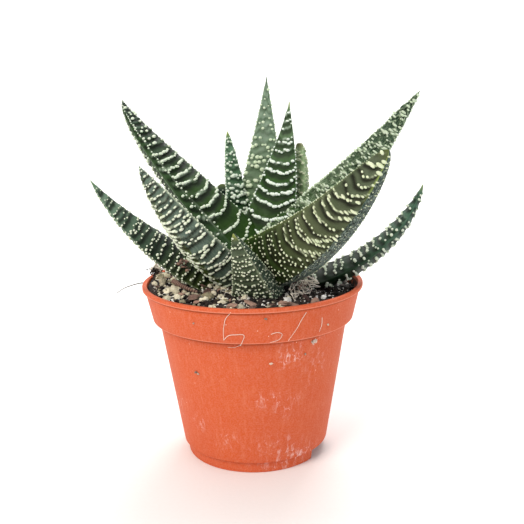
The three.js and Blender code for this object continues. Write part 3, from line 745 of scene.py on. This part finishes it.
def copies(shape, spots, xAxis, yAxis, zAxis, scale):
    # the shape, or one shape for each spot, set on its own axes and to its own three sizes
    points, faceSets = shape
    local = points * scale[:, None]
    axes = (xAxis, yAxis, zAxis)
    placed = spots[:, None] + sum(local[..., i:i + 1] * axis[:, None] for i, axis in enumerate(axes))
    shift = (np.arange(len(spots)) * points.shape[-2])[:, None, None]
    return placed.reshape(-1, 3), [(faces[None] + shift).reshape(-1, faces.shape[1]) for faces in faceSets]


def ridge(away):
    # profile of the swelling under a band, away in mm: it falls off steeply toward the foot of the leaf and
    # gently toward the tip, so that each band stands like the edge of a shingle
    return np.exp(-(away / np.where(away > 0, 1.6, 0.5)) ** 2)


def skinFade(s, turn):
    # the relief dies out toward the foot, the tip and the two margins
    return smoothStep(s, 0.04, 0.15) * (1 - smoothStep(s, 0.9, 1)) * smoothStep(np.sin(turn) ** 2, 0, 0.2)


def leafBody(v, innerLines, outerLines):
    # the skin as a grid along and round the leaf, swollen under its bands, closed at foot and tip, with
    # painted shade below and between its bands and painted shade and sheen on one facet
    n, m = leafMesh["rows"], leafMesh["around"]
    s = (1 - (1 - np.linspace(0, leafMesh["end"], n)) ** 1.5)[:, None] * np.ones(m)
    turn = circle(m) * np.ones((n, 1))
    c = np.cos(turn)
    onInner = turn <= math.pi
    glow, swelling, under = np.zeros((3, n, m))
    for lines, face, here in ((innerLines, v["inner"], onInner), (outerLines, v["outer"], ~onInner)):
        places, offset, tied = lines
        reach = leafMesh["paintedShadeAt"] * v["length"] / face["count"]
        for band in range(len(places)):
            everywhere = np.full(s.shape, band)
            away = (s - places[band] - offset(c, everywhere)) * v["length"]
            near = np.where(here, np.exp(-(away / (leafMesh["bandWidth"] * face["bead"])) ** 2), 0)
            glow = np.maximum(glow, near * np.where(c > 0, face["small"], 1) * tied(c, everywhere))
            swelling = np.maximum(swelling, np.where(here, ridge(away) * face["swell"], 0))
            # painted shade just below each band, toward the foot of the leaf
            sunk = np.exp(-((away + reach) / (leafMesh["paintedShadeWidth"] * reach)) ** 2)
            under = np.maximum(under, np.where(here, sunk, 0))
    point, along, around, normal = leafAxes(v, s, turn)
    fade = skinFade(s, turn)
    size, rise, perRadian, seed = leafMesh["lumps"]
    noise = lumps(s * v["length"], turn * perRadian, size, seed) * rise
    point = point + normal * (fade * (swelling + noise) - leafMesh["sunk"] * fade)[..., None]
    points = np.concatenate([point.reshape(-1, 3), leafSpine(v, np.array([0.0, 1.0]))[0]])
    fold = np.where(onInner & (c > 0), foldAt(v, s), 1)
    margin = np.exp(-((fold - np.abs(c)) * v["width"] / 2 / leafMesh["margin"]) ** 2) * v["edgeLine"]
    keel = np.where(onInner, 0, np.exp(-(c * v["width"] / 2 / leafMesh["keel"]) ** 2)) * v["keelLine"]
    keel = keel * smoothStep(s, v["keelFrom"], v["keelFrom"] + 0.15)
    # the facet that is painted with shade and sheen
    shaded = ((~onInner & (c > 0)) | (c > fold)) & ("facetShadeAndSheen" in v["skin"])
    values = {
        "along": s, "bead": np.zeros_like(s), "band": glow * fade, "facetShadeAndSheen": shaded.astype(float),
        "edge": np.maximum(margin * smoothStep(s, 0.02, 0.15), keel),
        # painted shade, strongest just below each band and weaker wherever the skin is not swollen
        "paintedShade": fade * v["paintedShadeStrength"] * np.clip(under + 0.25 * (1 - smoothStep(swelling, 0, 0.25)), 0, 1),
        "run": s * v["length"], "girth": turn * v["width"] / 2,
    }
    attributes = {key: np.append(value, (0, key == "along")) for key, value in values.items()}
    return points, tubeFaces(n, m), attributes


def leafBeads(v, innerLines, outerLines, random):
    # the tubercles of both faces and of the margins, each a closed bead with its foot in the skin
    groups = [bandBeads(v, v["inner"], True, innerLines, random),
              bandBeads(v, v["outer"], False, outerLines, random),
              marginBeads(v, random)]
    s, turn, width, long, lift = (np.concatenate(values) for values in zip(*groups))
    point, along, around, normal = leafAxes(v, s, turn)
    spots = point + normal * (leafMesh["beadLift"] + lift * skinFade(s, turn))[:, None]
    scale = np.stack([long / 2, width / 2, width * leafMesh["beadRise"]], axis=-1)
    points, faceSets = copies(beadShape(leafMesh["beadSides"]), spots, around, along, normal, scale)
    attributes = {key: np.zeros(len(points)) for key in skinAttributes}
    attributes.update(along=np.repeat(s, len(points) // len(s)), bead=np.ones(len(points)))
    return points, faceSets, attributes


def makeLeaf(name, values, seed):
    # one leaf, its skin and tubercles in one piece
    random = np.random.default_rng(seed)
    v = {**plainLeaf, **values, **{side: {**plainFace, **values[side]} for side in ("inner", "outer")}}
    spine = leafSpine(v, np.linspace(0, 1, 60))[0]
    v["length"] = np.linalg.norm(np.diff(spine, axis=0), axis=1).sum()
    lines = bandLines(v, v["inner"], seed + 100), bandLines(v, v["outer"], seed + 200)
    part = joinParts([leafBody(v, *lines), leafBeads(v, *lines, random)])
    piece = makePiece(name + "_skin", part, leafSkin(name, v["skin"]))
    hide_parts(name)


for number, (name, values) in enumerate(leafValues.items()):
    makeLeaf(name, values, leafMesh["firstSeed"] + number)
print("leaves made")


# Pot

potValues = {
    "segments": 240,
    "corner": 0.36, "cornerSteps": 5,  # reach of the rounding of a moulded corner, and points on it
    "longest": 2,  # of the stretches between two points of the outline
    "rimRadius": 42.5, "rimTop": 67.6, "lipFoot": 66.1, "lipWidth": 1.8,
    "collarFoot": 54.2, "collarTopRadius": 41.5, "collarFootRadius": 38.8,
    "bodyTopRadius": 36.5, "bodyFootRadius": 28.5,
    "skirtHeight": 4.4, "skirtRadius": 26.8, "skirtWall": 1.3,
    "wall": 1, "floorTop": 5.6, "floorUnder": 4.1, "padRadius": 7,
    "draft": 0.4,  # how far the skirt and the pad lean, as moulded walls do
    "drainRadius": 2.5, "drainCircle": 16, "drains": 4, "drainTurn": 24, "drainSides": 32,
    "drainHeights": (3.0, 7.5),
    "notchWidth": 14.8, "notchTop": 3.9, "notches": (-21, 159),
    # lime smears: direction in degrees, height, half width and half height in mm, strength
    "smears": [(-68, 47.5, 5, 4, 0.9), (-79, 31, 6, 2.5, 0.8), (-68, 28, 5, 4, 0.5), (-64, 5, 9, 5, 1.0),
               (-110, 14, 4, 3, 0.6), (-129, 19, 4, 3, 0.5), (-75, 13, 9, 3, 0.4), (-48, 44, 5, 9, 0.35),
               (20, 34, 9, 6, 0.7), (75, 12, 10, 5, 0.6), (130, 40, 7, 8, 0.5), (-170, 22, 9, 6, 0.6)],
}


def collarRadius(height, raised=0):
    # radius of the collar's outside at a height, or as if its foot stood higher, as it does on the inside
    p = potValues
    foot, top = p["collarFootRadius"], p["collarTopRadius"]
    return between(height, p["collarFoot"] + raised, p["lipFoot"], foot, top)


def roundedProfile(points, radius, steps, longest=math.inf):
    # each corner of the outline becomes an arc that starts and ends a radius away from it
    points = np.array(points, float)
    before, corner, after = points[:-2], points[1:-1], points[2:]
    reach = np.minimum(radius, 0.45 * np.minimum(np.linalg.norm(corner - before, axis=1),
                                                 np.linalg.norm(after - corner, axis=1)))[:, None]
    start = corner + unit(before - corner) * reach
    end = corner + unit(after - corner) * reach
    t = np.linspace(0, 1, steps)[None, :, None]
    arcs = arc(start[:, None], corner[:, None], end[:, None], t)
    outline = np.concatenate([points[:1], arcs.reshape(-1, 2), points[-1:]])
    # long straight stretches get points of their own, at most longest apart
    gaps = np.linalg.norm(np.diff(outline, axis=0), axis=1)
    pieces = np.maximum(np.ceil(gaps / longest), 1).astype(int)
    t = np.concatenate([np.arange(n) / n for n in pieces])[:, None]
    first = np.repeat(np.arange(len(gaps)), pieces)
    return np.concatenate([outline[first] * (1 - t) + outline[first + 1] * t, outline[-1:]])


def turnedSurface(profile, segments):
    # a (radius, height) outline from axis to axis, carried once round the axis
    rings = polar(profile[1:-1, :1], circle(segments), profile[1:-1, 1:])
    points = np.concatenate([rings.reshape(-1, 3), [[0, 0, profile[0, 1]], [0, 0, profile[-1, 1]]]])
    return points, tubeFaces(len(rings), segments)


def makePot(v, material):
    # the turned pot, its skirt cut up at the notches, with the places of lime and of the darker inside wall
    # marked on it
    skirt, wall = v["skirtRadius"], v["wall"]
    outline = [
        (0, 0), (v["padRadius"], 0), (v["padRadius"] + v["draft"], v["floorUnder"]),
        (skirt - v["skirtWall"] - 0.2, v["floorUnder"]), (skirt - v["skirtWall"], 0), (skirt, 0),
        (skirt + v["draft"], v["skirtHeight"]), (v["bodyFootRadius"], v["skirtHeight"] + 0.2),
        (v["bodyTopRadius"], v["collarFoot"]), (v["collarFootRadius"], v["collarFoot"]),
        (v["collarTopRadius"], v["lipFoot"]), (v["rimRadius"], v["lipFoot"]), (v["rimRadius"], v["rimTop"]),
        (v["rimRadius"] - v["lipWidth"], v["rimTop"]), (v["collarTopRadius"] - wall, v["lipFoot"]),
        (v["collarFootRadius"] - wall, v["collarFoot"] + wall),
        (v["bodyTopRadius"] - wall, v["collarFoot"] + wall),
        (v["bodyFootRadius"] - wall, v["floorTop"]), (0, v["floorTop"])]
    profile = roundedProfile(outline, v["corner"], v["cornerSteps"], v["longest"])
    points, faceSets = turnedSurface(profile, v["segments"])
    x, y, z = points.T
    around, radius = np.arctan2(y, x), np.hypot(x, y)
    # the skirt is cut up to its notches' height where they face out
    cut = np.zeros(len(points))
    for direction in v["notches"]:
        away = np.abs(turnFrom(around, direction)) * radius
        cut = np.maximum(cut, 1 - smoothStep(away, v["notchWidth"] / 2 - 0.5, v["notchWidth"] / 2 + 0.3))
    onSkirt = (radius > skirt - v["skirtWall"] - 0.6) & (z < v["notchTop"] + 0.1)
    points[:, 2] = np.where(onSkirt, z + (v["notchTop"] - z) * cut, z)
    smear = np.zeros(len(points))
    for direction, height, across, up, strength in v["smears"]:
        apart = (turnFrom(around, direction) * radius / across) ** 2 + ((z - height) / up) ** 2
        smear = np.maximum(smear, strength * np.exp(-apart) * (radius > skirt - 0.8))
    # the inside of the wall is darker up to the lip
    inside = (radius < collarRadius(z) - wall / 2) & (z > v["collarFoot"] + 2 * wall)
    darkInside = inside * (1 - smoothStep(z, v["lipFoot"] - 0.4, v["lipFoot"] + 0.9))
    pot = makePiece("pot_moulded", (points, faceSets, {"smear": smear, "darkInside": darkInside}), material)
    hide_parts("pot")
    return pot


def drillDrains(pot, v):
    # round holes through the floor, cut by a Boolean whose result becomes the pot's mesh
    parts = []
    for turn in circle(v["drains"]) + math.radians(v["drainTurn"]):
        rings = [polar(v["drainRadius"], circle(v["drainSides"]), z) + polar(v["drainCircle"], turn, 0)
                 for z in v["drainHeights"]]
        ends = [ring.mean(axis=0) for ring in rings]
        parts.append((np.concatenate([*rings, ends]), tubeFaces(2, v["drainSides"]), {}))
    cutter = makePiece("drain_cutter", joinParts(parts), pot.data.materials[0], smooth=False)
    drilling = pot.modifiers.new("drains", "BOOLEAN")
    drilling.operation, drilling.solver, drilling.object = "DIFFERENCE", "EXACT", cutter
    graph = bpy.context.evaluated_depsgraph_get()
    drilled = bpy.data.meshes.new_from_object(pot.evaluated_get(graph))
    pot.modifiers.clear()
    pot.data = drilled
    bpy.data.objects.remove(cutter)


drillDrains(makePot(potValues, mouldedPolypropylene()), potValues)
print("pot made")


# Soil

soilValues = {
    "edge": 64.6, "dome": 2.2, "tilt": 1.2,  # height at the wall, rise to the middle, heaping to the left
    "mound": (-33, 5, 11, 1.8),  # x, y, radius and rise of the heap at the left
    "around": 260, "ringsOnTop": 96,
    # room beside and under it: twice at the floor, then at the ledge and at the foot of the collar
    "room": [(2.3, 0.3), (1.4, 0.9), (1.3, 1.3), (1.3, 1.4)],
    "edgeRoom": 0.3, "settled": 0.2,  # gap at the wall, and how far the bed lies under the loose pieces
    "innermost": 0.004,  # radius of the last ring, as a share of the first
    "roughness": [(0.55, 3.1), (0.4, 1.4), (0.25, 0.6)],  # rise and size of the crumbs in the surface
    # Loose pieces: material as (name, dark, pale, roughness, mm of its pores), lots of bits, either strewn
    # by a seed or at places (x, y, radius), and heaps (x, y, z, spread, count)
    "grains": {
        "soil_crumbs": dict(
            material=("peatCrumbs", "#0b0908", "#342a23", 0.95, 0.8),
            lots=[dict(count=2000, sizes=(0.4, 1.5), flat=0.7, reach=(3, 38.5), seed=11)],
            heaps=[(-38.6, 8, 69.2, 1.1, 40), (-36, 10, 69, 1.5, 30)]),
        "soil_perlite": dict(
            material=("expandedPerlite", "#d2cfc6", "#fdfcf7", 0.85, 0.5),
            lots=[dict(count=110, sizes=(0.5, 1.4), flat=0.75, reach=(8, 38), seed=12),
                  dict(flat=0.6, seed=16, places=[
                      (12.8, -25, 1.7), (15.5, -26.5, 1.0), (9.5, -28.5, 1.0), (33, -7, 1.3), (30, -13, 1.0),
                      (26, -19, 1.1), (28.5, -16, 0.8), (22, -23, 0.9), (35, -3, 0.9), (31, -9, 0.8),
                      (24, -14, 0.9), (19, -19, 0.9)]),
                  dict(count=1100, sizes=(0.15, 0.55), flat=0.8, reach=(6, 38.5), seed=17, lean=0.1,
                       lift=0.8)]),
        "soil_pumice": dict(
            material=("creamPumice", "#7d7558", "#f2ead0", 0.9, 0.6),
            lots=[dict(count=300, sizes=(0.5, 1.8), flat=0.8, reach=(12, 37.5), seed=18, lean=1.2, lift=0.3),
                  dict(flat=0.8, seed=19, places=[
                      (-29, -13, 2.1), (-34.5, -4, 2.2), (-32, -12.5, 1.5), (-24, -17.5, 1.6),
                      (-15.5, -24.5, 2.3), (-19.5, -22.5, 1.3), (-11, -29, 1.3), (-27, -20, 1.5),
                      (-36, 3, 1.8), (-34, 11, 1.9), (-37.5, -3, 1.3)])]),
        "soil_bark": dict(
            material=("pineBark", "#3a241f", "#a98877", 0.85, 0.7),
            lots=[dict(count=85, sizes=(0.9, 2.6), flat=0.35, reach=(8, 37), seed=13, lean=0.3, lift=0.4),
                  dict(flat=0.4, seed=20, places=[
                      (-21, -24, 2.6), (0, -31, 2.9), (12.5, -32, 3.2), (-25.5, -17.5, 2.4), (-7, -33, 2.2),
                      (7, -32.5, 1.8)])],
            heaps=[(-25.5, -6.5, 75.6, 1.1, 24), (19, -12, 67.4, 1.6, 30)]),
    },
    "heapSizes": (0.4, 1.0), "heapFlat": 0.8,
    "seed": 14,
    # creeping roots: count, where they start, their strides and drift, height over the soil and thickness
    "roots": dict(count=85, start=(10, 36), strides=5, stride=1.1, drift=0.9, reach=38, over=0.35, arch=0.5,
                  thickness=(0.07, 0.16)),
    "tangles": [(20, -13, 67.9, 3.3, 17), (-38, 9, 70.2, 2.2, 36), (17, -21, 67.2, 3.0, 12)],
    "tangleThickness": 0.16,
    # the foot of a dead leaf, leaning on the soil at the left
    "deadLeaf": dict(path=[(-29.5, -10.5, 70.2), (-27, -13.5, 69.6), (-24, -15.5, 68.6), (-20, -17.5, 67.6)],
                     radius=0.8, sides=10, ribs=0.22),
}

lumpValues = {
    "bulges": [(0.2, 3.3), (0.15, 6.1)],  # height and pace of the two bulges of a lump
    "jitter": (0.82, 1.15),  # of each of its points
    "width": (0.55, 0.95), "height": (0.6, 1.1),  # as shares of its length
    "tilt": 0.35,
}


def soilHeight(x, y):
    # a low dome toward the plant with slow unevenness, as in the solids, and the heap at the left
    v = soilValues
    reach = np.hypot(x, y) / (potValues["rimRadius"] - 3)
    slow = 0.5 * np.sin(0.31 * x + 1.3) * np.cos(0.27 * y - 0.4) + 0.3 * np.sin(0.55 * y + 0.21 * x)
    atX, atY, radius, rise = v["mound"]
    mound = rise * np.exp(-((x - atX) ** 2 + (y - atY) ** 2) / radius ** 2)
    return v["edge"] + v["dome"] * (1 - reach ** 2) - v["tilt"] * x / potValues["rimRadius"] + slow + mound


def makeSoilBed(v, material):
    # wall of the root ball up to the edge, then rings inward over the surface, roughened at three sizes
    p = potValues
    angle = circle(v["around"])
    floor, ledge = (p["bodyFootRadius"], p["floorTop"]), (p["bodyTopRadius"], p["collarFoot"])
    corners = [floor, floor, ledge, (p["collarFootRadius"], p["collarFoot"])]
    low = [(r - beside, z + under) for (r, z), (beside, under) in zip(corners, v["room"])]
    wall = [polar(r, angle, z) for r, z in low]
    t = np.linspace(1, v["innermost"], v["ringsOnTop"])[:, None]
    reach = v["roots"]["reach"]
    edge = np.minimum(soilHeight(reach * np.cos(angle), reach * np.sin(angle)), p["lipFoot"])
    r = t * (collarRadius(edge, p["wall"]) - p["wall"] - v["edgeRoom"])
    x, y = r * np.cos(angle), r * np.sin(angle)
    rough = sum(rise * lumps(x, y, size, seed) for seed, (rise, size) in enumerate(v["roughness"], 1))
    top = np.stack([x, y, soilHeight(x, y) - v["settled"] + rough * smoothStep(1 - t, 0, 0.03)], axis=-1)
    ends = [[0, 0, low[0][1]], [0, 0, top[-1, :, 2].mean()]]
    points = np.concatenate([*wall, top.reshape(-1, 3), ends])
    bed = makePiece("soil_bed", (points, tubeFaces(len(low) + len(t), len(angle)), {}), material)
    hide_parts("soil")


def rockyLumps(spots, size, flat, random, sides=7):
    # lumps at the given spots, each bulged along directions of its own, with its own sizes, tilt and shade
    v, count = lumpValues, len(spots)
    ball, faceSets = beadShape(sides)
    directions = unit(random.normal(0, 1, (2, count, 3)))
    phases = random.uniform(0, 2 * math.pi, (2, count, 1))
    bulge = 1 + sum(rise * np.sin(pace * direction @ ball.T + phase)
                    for (rise, pace), direction, phase in zip(v["bulges"], directions, phases))
    ball = ball * (bulge * random.uniform(*v["jitter"], bulge.shape))[..., None]
    width, height = random.uniform(*v["width"], count), random.uniform(*v["height"], count)
    scale = np.stack([size, size * width, size * flat * height], -1)
    leaning = random.normal(0, v["tilt"], (2, count))
    zAxis = unit(np.stack([*leaning, np.ones(count)], -1))
    turned = random.uniform(0, 2 * math.pi, count)
    xAxis = polar(1, turned, 0)
    xAxis = unit(xAxis - zAxis * (xAxis * zAxis).sum(-1, keepdims=True))
    points, faceSets = copies((ball, faceSets), spots, xAxis, np.cross(zAxis, xAxis), zAxis, scale)
    return points, faceSets, {"tone": np.repeat(random.uniform(0, 1, count), ball.shape[1])}


def strewn(count, sizes, flat, reach, seed, lean=0.0, lift=0.15):
    # lumps at random in the surface; a lean keeps, of three times as many places, more of those to the left
    random = np.random.default_rng(seed)
    tries, luck = 3 * count, 60  # luck in mm, against the lean
    radius = np.sqrt(random.uniform(reach[0] ** 2, reach[1] ** 2, tries))
    angle = random.uniform(0, 2 * math.pi, tries)
    x, y = radius * np.cos(angle), radius * np.sin(angle)
    kept = np.argsort(x * lean + random.uniform(0, luck, tries))[:count]
    x, y = x[kept], y[kept]
    size = sizes[0] + (sizes[1] - sizes[0]) * random.uniform(0, 1, count) ** 2
    return rockyLumps(np.stack([x, y, soilHeight(x, y) + size * lift], -1), size, flat, random)


def single(places, flat, seed):
    # finer lumps at given (x, y, radius) places on the soil
    lift, sides = 0.35, 10
    x, y, size = np.array(places, float).T
    spots = np.stack([x, y, soilHeight(x, y) + size * lift], -1)
    return rockyLumps(spots, size, flat, np.random.default_rng(seed), sides)


def heap(x, y, z, spread, count, random):
    # small lumps piled about a place
    spots = np.array([x, y, z]) + random.normal(0, spread, (count, 3))
    return rockyLumps(spots, random.uniform(*soilValues["heapSizes"], count), soilValues["heapFlat"], random)


def tube(path, radius, sides, ribs=0.0):
    # a thin round tube along a smooth path, narrowing toward its end and closed at both, ribbed if asked
    path = np.asarray(path, float)
    along = unit(np.gradient(path, axis=0))
    first = unit(np.cross(along, [0.3, 0.2, 1.0]))  # a direction that no path here follows
    second = np.cross(along, first)
    a, count = circle(sides), len(path)
    width = radius * (1 - 0.5 * np.linspace(0, 1, count) ** 2 + ribs * (-1.0) ** np.arange(count))
    spokes = first[:, None] * np.cos(a)[:, None] + second[:, None] * np.sin(a)[:, None]
    rings = path[:, None] + width[:, None, None] * spokes
    return np.concatenate([rings.reshape(-1, 3), path[[0, -1]]]), tubeFaces(count, sides), {}


def throughPoints(points, steps):
    # a smooth curve through the given points, each stretch the Catmull-Rom cubic of the four points about it
    p = np.array(points, float)
    p = np.concatenate([[2 * p[0] - p[1]], p, [2 * p[-1] - p[-2]]])
    a, b, c, d = p[:-3, None], p[1:-2, None], p[2:-1, None], p[3:, None]
    t = np.linspace(0, 1, steps, endpoint=False)[:, None]
    square, cube = 2 * a - 5 * b + 4 * c - d, 3 * b - a - 3 * c + d
    curves = 0.5 * (2 * b + (c - a) * t + square * t ** 2 + cube * t ** 3)
    return np.concatenate([curves.reshape(-1, p.shape[1]), p[-2:-1]])


def tangle(centre, spread, count, thickness, random):
    # curly fibres through random places about a centre
    places = [centre + random.normal(0, spread / 2, 3) + random.normal(0, spread / 2.2, (5, 3))
              for i in range(count)]
    return [tube(throughPoints(place, 6), thickness * random.uniform(0.6, 1.2), 4) for place in places]


def creepingRoot(v, random):
    # a root that wanders over the surface of the soil, arched up a little in the middle
    r, a = random.uniform(*v["start"]), random.uniform(0, 2 * math.pi)
    start = polar(r, a, 0)[:2]
    steps = random.normal(0, v["stride"], (v["strides"], 2)) + random.normal(0, v["drift"], 2)
    xy = throughPoints(np.concatenate([start[None], start + np.cumsum(steps, axis=0)]), 5)
    xy *= np.minimum(1, v["reach"] / np.maximum(np.linalg.norm(xy, axis=1, keepdims=True), 1))
    z = soilHeight(xy[:, 0], xy[:, 1]) + v["over"] + v["arch"] * np.sin(np.linspace(0, math.pi, len(xy)))
    return tube(np.column_stack([xy, z]), random.uniform(*v["thickness"]), 5)


def makeSoil(v):
    # the bed, the loose grains on it, the roots that creep over it and the foot of a dead leaf
    makeSoilBed(v, pottingPeat())
    random = np.random.default_rng(v["seed"])
    materials = {}
    for name, grains in v["grains"].items():
        parts = [single(**lot) if "places" in lot else strewn(**lot) for lot in grains["lots"]]
        parts += [heap(*place, random) for place in grains.get("heaps", [])]
        materials[name] = looseGrains(*grains["material"])
        makePiece(name, joinParts(parts), materials[name], smooth=False)
    fibres = [creepingRoot(v["roots"], random) for i in range(v["roots"]["count"])]
    for *centre, spread, count in v["tangles"]:
        fibres += tangle(np.array(centre), spread, count, v["tangleThickness"], random)
    makePiece("soil_roots", joinParts(fibres), dryRoot)
    leaf = v["deadLeaf"]
    line = throughPoints(leaf["path"], 9)
    points, faceSets, unused = tube(line, leaf["radius"], leaf["sides"], leaf["ribs"])
    # every second ring is a rib, and paler
    ribTone = 0.45 + 0.4 * np.cos(np.arange(len(points)) // leaf["sides"] * math.pi)
    foot = (points, faceSets, {"tone": ribTone})
    makePiece("dead_leaf_foot", foot, materials["soil_bark"], smooth=False)


makeSoil(soilValues)
print("soil made")


# Dry roots and grit that cling to the pot, as (direction in degrees, height) along its wall

clingingValues = {
    "fibres": [
        [(-100.1, 66.0), (-102.3, 64.2), (-103.3, 62.3), (-104.2, 59.2), (-104.4, 56.9), (-104.6, 55.7)],
        [(-104.6, 55.7), (-101.7, 57.6), (-98.0, 58.0), (-94.8, 58.1), (-94.0, 57.3), (-95.0, 55.4),
         (-96.0, 54.0), (-97.3, 53.0), (-100.4, 52.2), (-103.8, 52.2)],
        [(-63.1, 64.8), (-64.6, 63.1), (-65.9, 61.4), (-67.3, 59.2), (-69.7, 56.7), (-71.6, 54.7)],
        [(-80.7, 57.9), (-77.7, 58.4), (-75.1, 57.6), (-76.5, 55.6), (-81.1, 54.7)],
        [(-53, 61.5), (-52.5, 58.5), (-53.5, 56)],
    ],
    "thickness": 0.1, "off": 0.2,  # of the fibres, and how far their middles are off the wall
    "tuft": dict(direction=-53.5, height=51.6, off=0.6, spread=0.9, count=14),
    "grit": [(-79.6, 45.7, 0.8), (-58.5, 47.4, 0.6), (-127, 40.2, 0.7), (-125.4, 39.8, 0.6),
             (-83.5, 63.8, 0.75), (-54, 51.6, 0.5), (-120, 61, 0.4), (-48, 58, 0.5), (60, 45, 0.6),
             (150, 60, 0.6)],
    "gritOff": 0.25, "gritFlat": 0.8,
    "gritMaterial": ("driedGrit", "#4d443c", "#f2e8d2", 0.9, 0.5),
    "hair": [(-41.8, 0, 67.3), (-44.5, 0.4, 66.9), (-47.3, 0.6, 66.1), (-50.4, 0.8, 64.9), (-53.4, 1, 62.9)],
    "hairThickness": 0.23,
    "seed": 31,
}


def onWall(direction, height, off):
    # a place that far off the pot's outer wall
    p = potValues
    angle = np.radians(direction)
    onBody = between(height, p["skirtHeight"], p["collarFoot"], p["bodyFootRadius"], p["bodyTopRadius"])
    radius = np.where(height > p["collarFoot"] - 0.5, collarRadius(height), onBody) + off
    return polar(radius, angle, height)


def makeClinging(v):
    # fibres and grit on the pot's wall, and the grey hair that leans out over its rim
    random = np.random.default_rng(v["seed"])
    fibres = [tube(onWall(*throughPoints(line, 6).T, v["off"]), v["thickness"], 5) for line in v["fibres"]]
    tuft = v["tuft"]
    centre = onWall(tuft["direction"], tuft["height"], tuft["off"])
    fibres += tangle(centre, tuft["spread"], tuft["count"], v["thickness"], random)
    makePiece("pot_root_fibres", joinParts(fibres), dryRoot)
    direction, height, size = np.array(v["grit"]).T
    grit = rockyLumps(onWall(direction, height, v["gritOff"]), size, v["gritFlat"], random)
    dried = looseGrains(*v["gritMaterial"])
    makePiece("pot_grit", grit, dried, smooth=False)
    points, faceSets, unused = tube(throughPoints(v["hair"], 6), v["hairThickness"], 5)
    makePiece("rim_hair", (points, faceSets, {"tone": np.zeros(len(points))}), dried)


makeClinging(clingingValues)
print("roots and grit on the pot made")


# Stem

stemValues = {
    # (radius, height) from its foot in the soil to the tip of the bud
    "outline": [(0, 46), (5.5, 46), (6.5, 47), (6.5, 68), (3.6, 78), (2.6, 81), (1.2, 84), (0, 85)],
    "corner": 0.8, "cornerSteps": 4, "segments": 48,
    "girth": 5,  # mean radius, which the veins go by
    "skin": dict(base="#6a5a3a", body="#3c5228", upper="#47652f", tip="#8aa35a", bead="#dfecd2",
                 veins=0.5, vein="#6f8a55"),
}


def makeStem(v):
    # a turned stem with the same skin as a leaf, but no bands
    profile = roundedProfile(v["outline"], v["corner"], v["cornerSteps"])
    points, faces = turnedSurface(profile, v["segments"])
    x, y, z = points.T
    values = {key: np.zeros(len(points)) for key in skinAttributes}
    values.update(along=(z - z.min()) / (z.max() - z.min()), run=z, girth=np.arctan2(y, x) * v["girth"])
    stem = makePiece("stem_skin", (points, faces, values), leafSkin("stem", v["skin"]))
    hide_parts("stem")


makeStem(stemValues)
print("stem made")


# Floor, light and view

stageValues = {
    "floorSize": 3000,
    "sweepStart": 500,  # where the paper starts to rise behind the object
    "sweepRadius": 500, "sweepSteps": 24,
}


def makeStage(v):
    # seamless white paper with a faint tooth: it lies flat, then rises in a quarter circle behind the object
    half, bend = v["floorSize"] / 2, v["sweepStart"] + v["sweepRadius"]
    a = np.linspace(0, math.pi / 2, v["sweepSteps"])[1:]
    rise = np.stack([v["sweepStart"] + v["sweepRadius"] * np.sin(a), v["sweepRadius"] * (1 - np.cos(a))], -1)
    line = np.concatenate([[[-half, 0], [v["sweepStart"], 0]], rise, [[bend, v["floorSize"]]]])
    x = np.broadcast_to([-half, half], (len(line), 2))
    points = np.stack([x, line[:, :1] + 0 * x, line[:, 1:] + 0 * x], -1).reshape(-1, 3)
    mesh = bpy.data.meshes.new("floor")
    mesh.from_pydata((points * mm).tolist(), [], gridFaces(len(line), 2, closed=False).tolist())
    mesh.materials.append(blotched("studioPaper", "#f1f0ee", "#f5f5f4", 1.2, 2, 0.9))
    floor = bpy.data.objects.new("floor", mesh)
    bpy.context.scene.collection.objects.link(floor)


lightValues = {
    "key": dict(spot=(-420, -520, 620), size=420, power=5.0, colour="#fff8f0"),
    "fill": dict(spot=(620, -420, 300), size=520, power=1.05, colour="#e9efff"),
    "back": dict(spot=(150, 520, 640), size=420, power=3.0, colour="#ffffff"),
    "backdrop": dict(spot=(0, 420, 950), aim=(0, 1000, 330), size=900, power=5.5, colour="#ffffff"),
}
plantMiddle = (0, 0, 80)
skyStrength = 0.55


def makeLights(lights):
    # square soft boxes, turned to the plant unless they aim elsewhere
    for name, v in lights.items():
        data = bpy.data.lights.new(name, "AREA")
        data.size = v["size"] * mm
        data.energy = v["power"]
        data.color = linear(v["colour"])[:3]
        lamp = bpy.data.objects.new(name, data)
        lamp.location = Vector(v["spot"]) * mm
        aim = Vector(v.get("aim", plantMiddle)) * mm
        lamp.rotation_euler = (aim - lamp.location).to_track_quat("-Z", "Y").to_euler()
        bpy.context.scene.collection.objects.link(lamp)


def makeWorld(strength):
    # even white light from all round
    world = bpy.data.worlds.new("studio")
    world.use_nodes = True
    background = world.node_tree.nodes["Background"]
    background.inputs["Color"].default_value = linear("#ffffff")
    background.inputs["Strength"].default_value = strength
    bpy.context.scene.world = world


makeStage(stageValues)
makeLights(lightValues)
makeWorld(skyStrength)
bpy.context.scene.view_settings.view_transform = "Standard"
print("stage made")
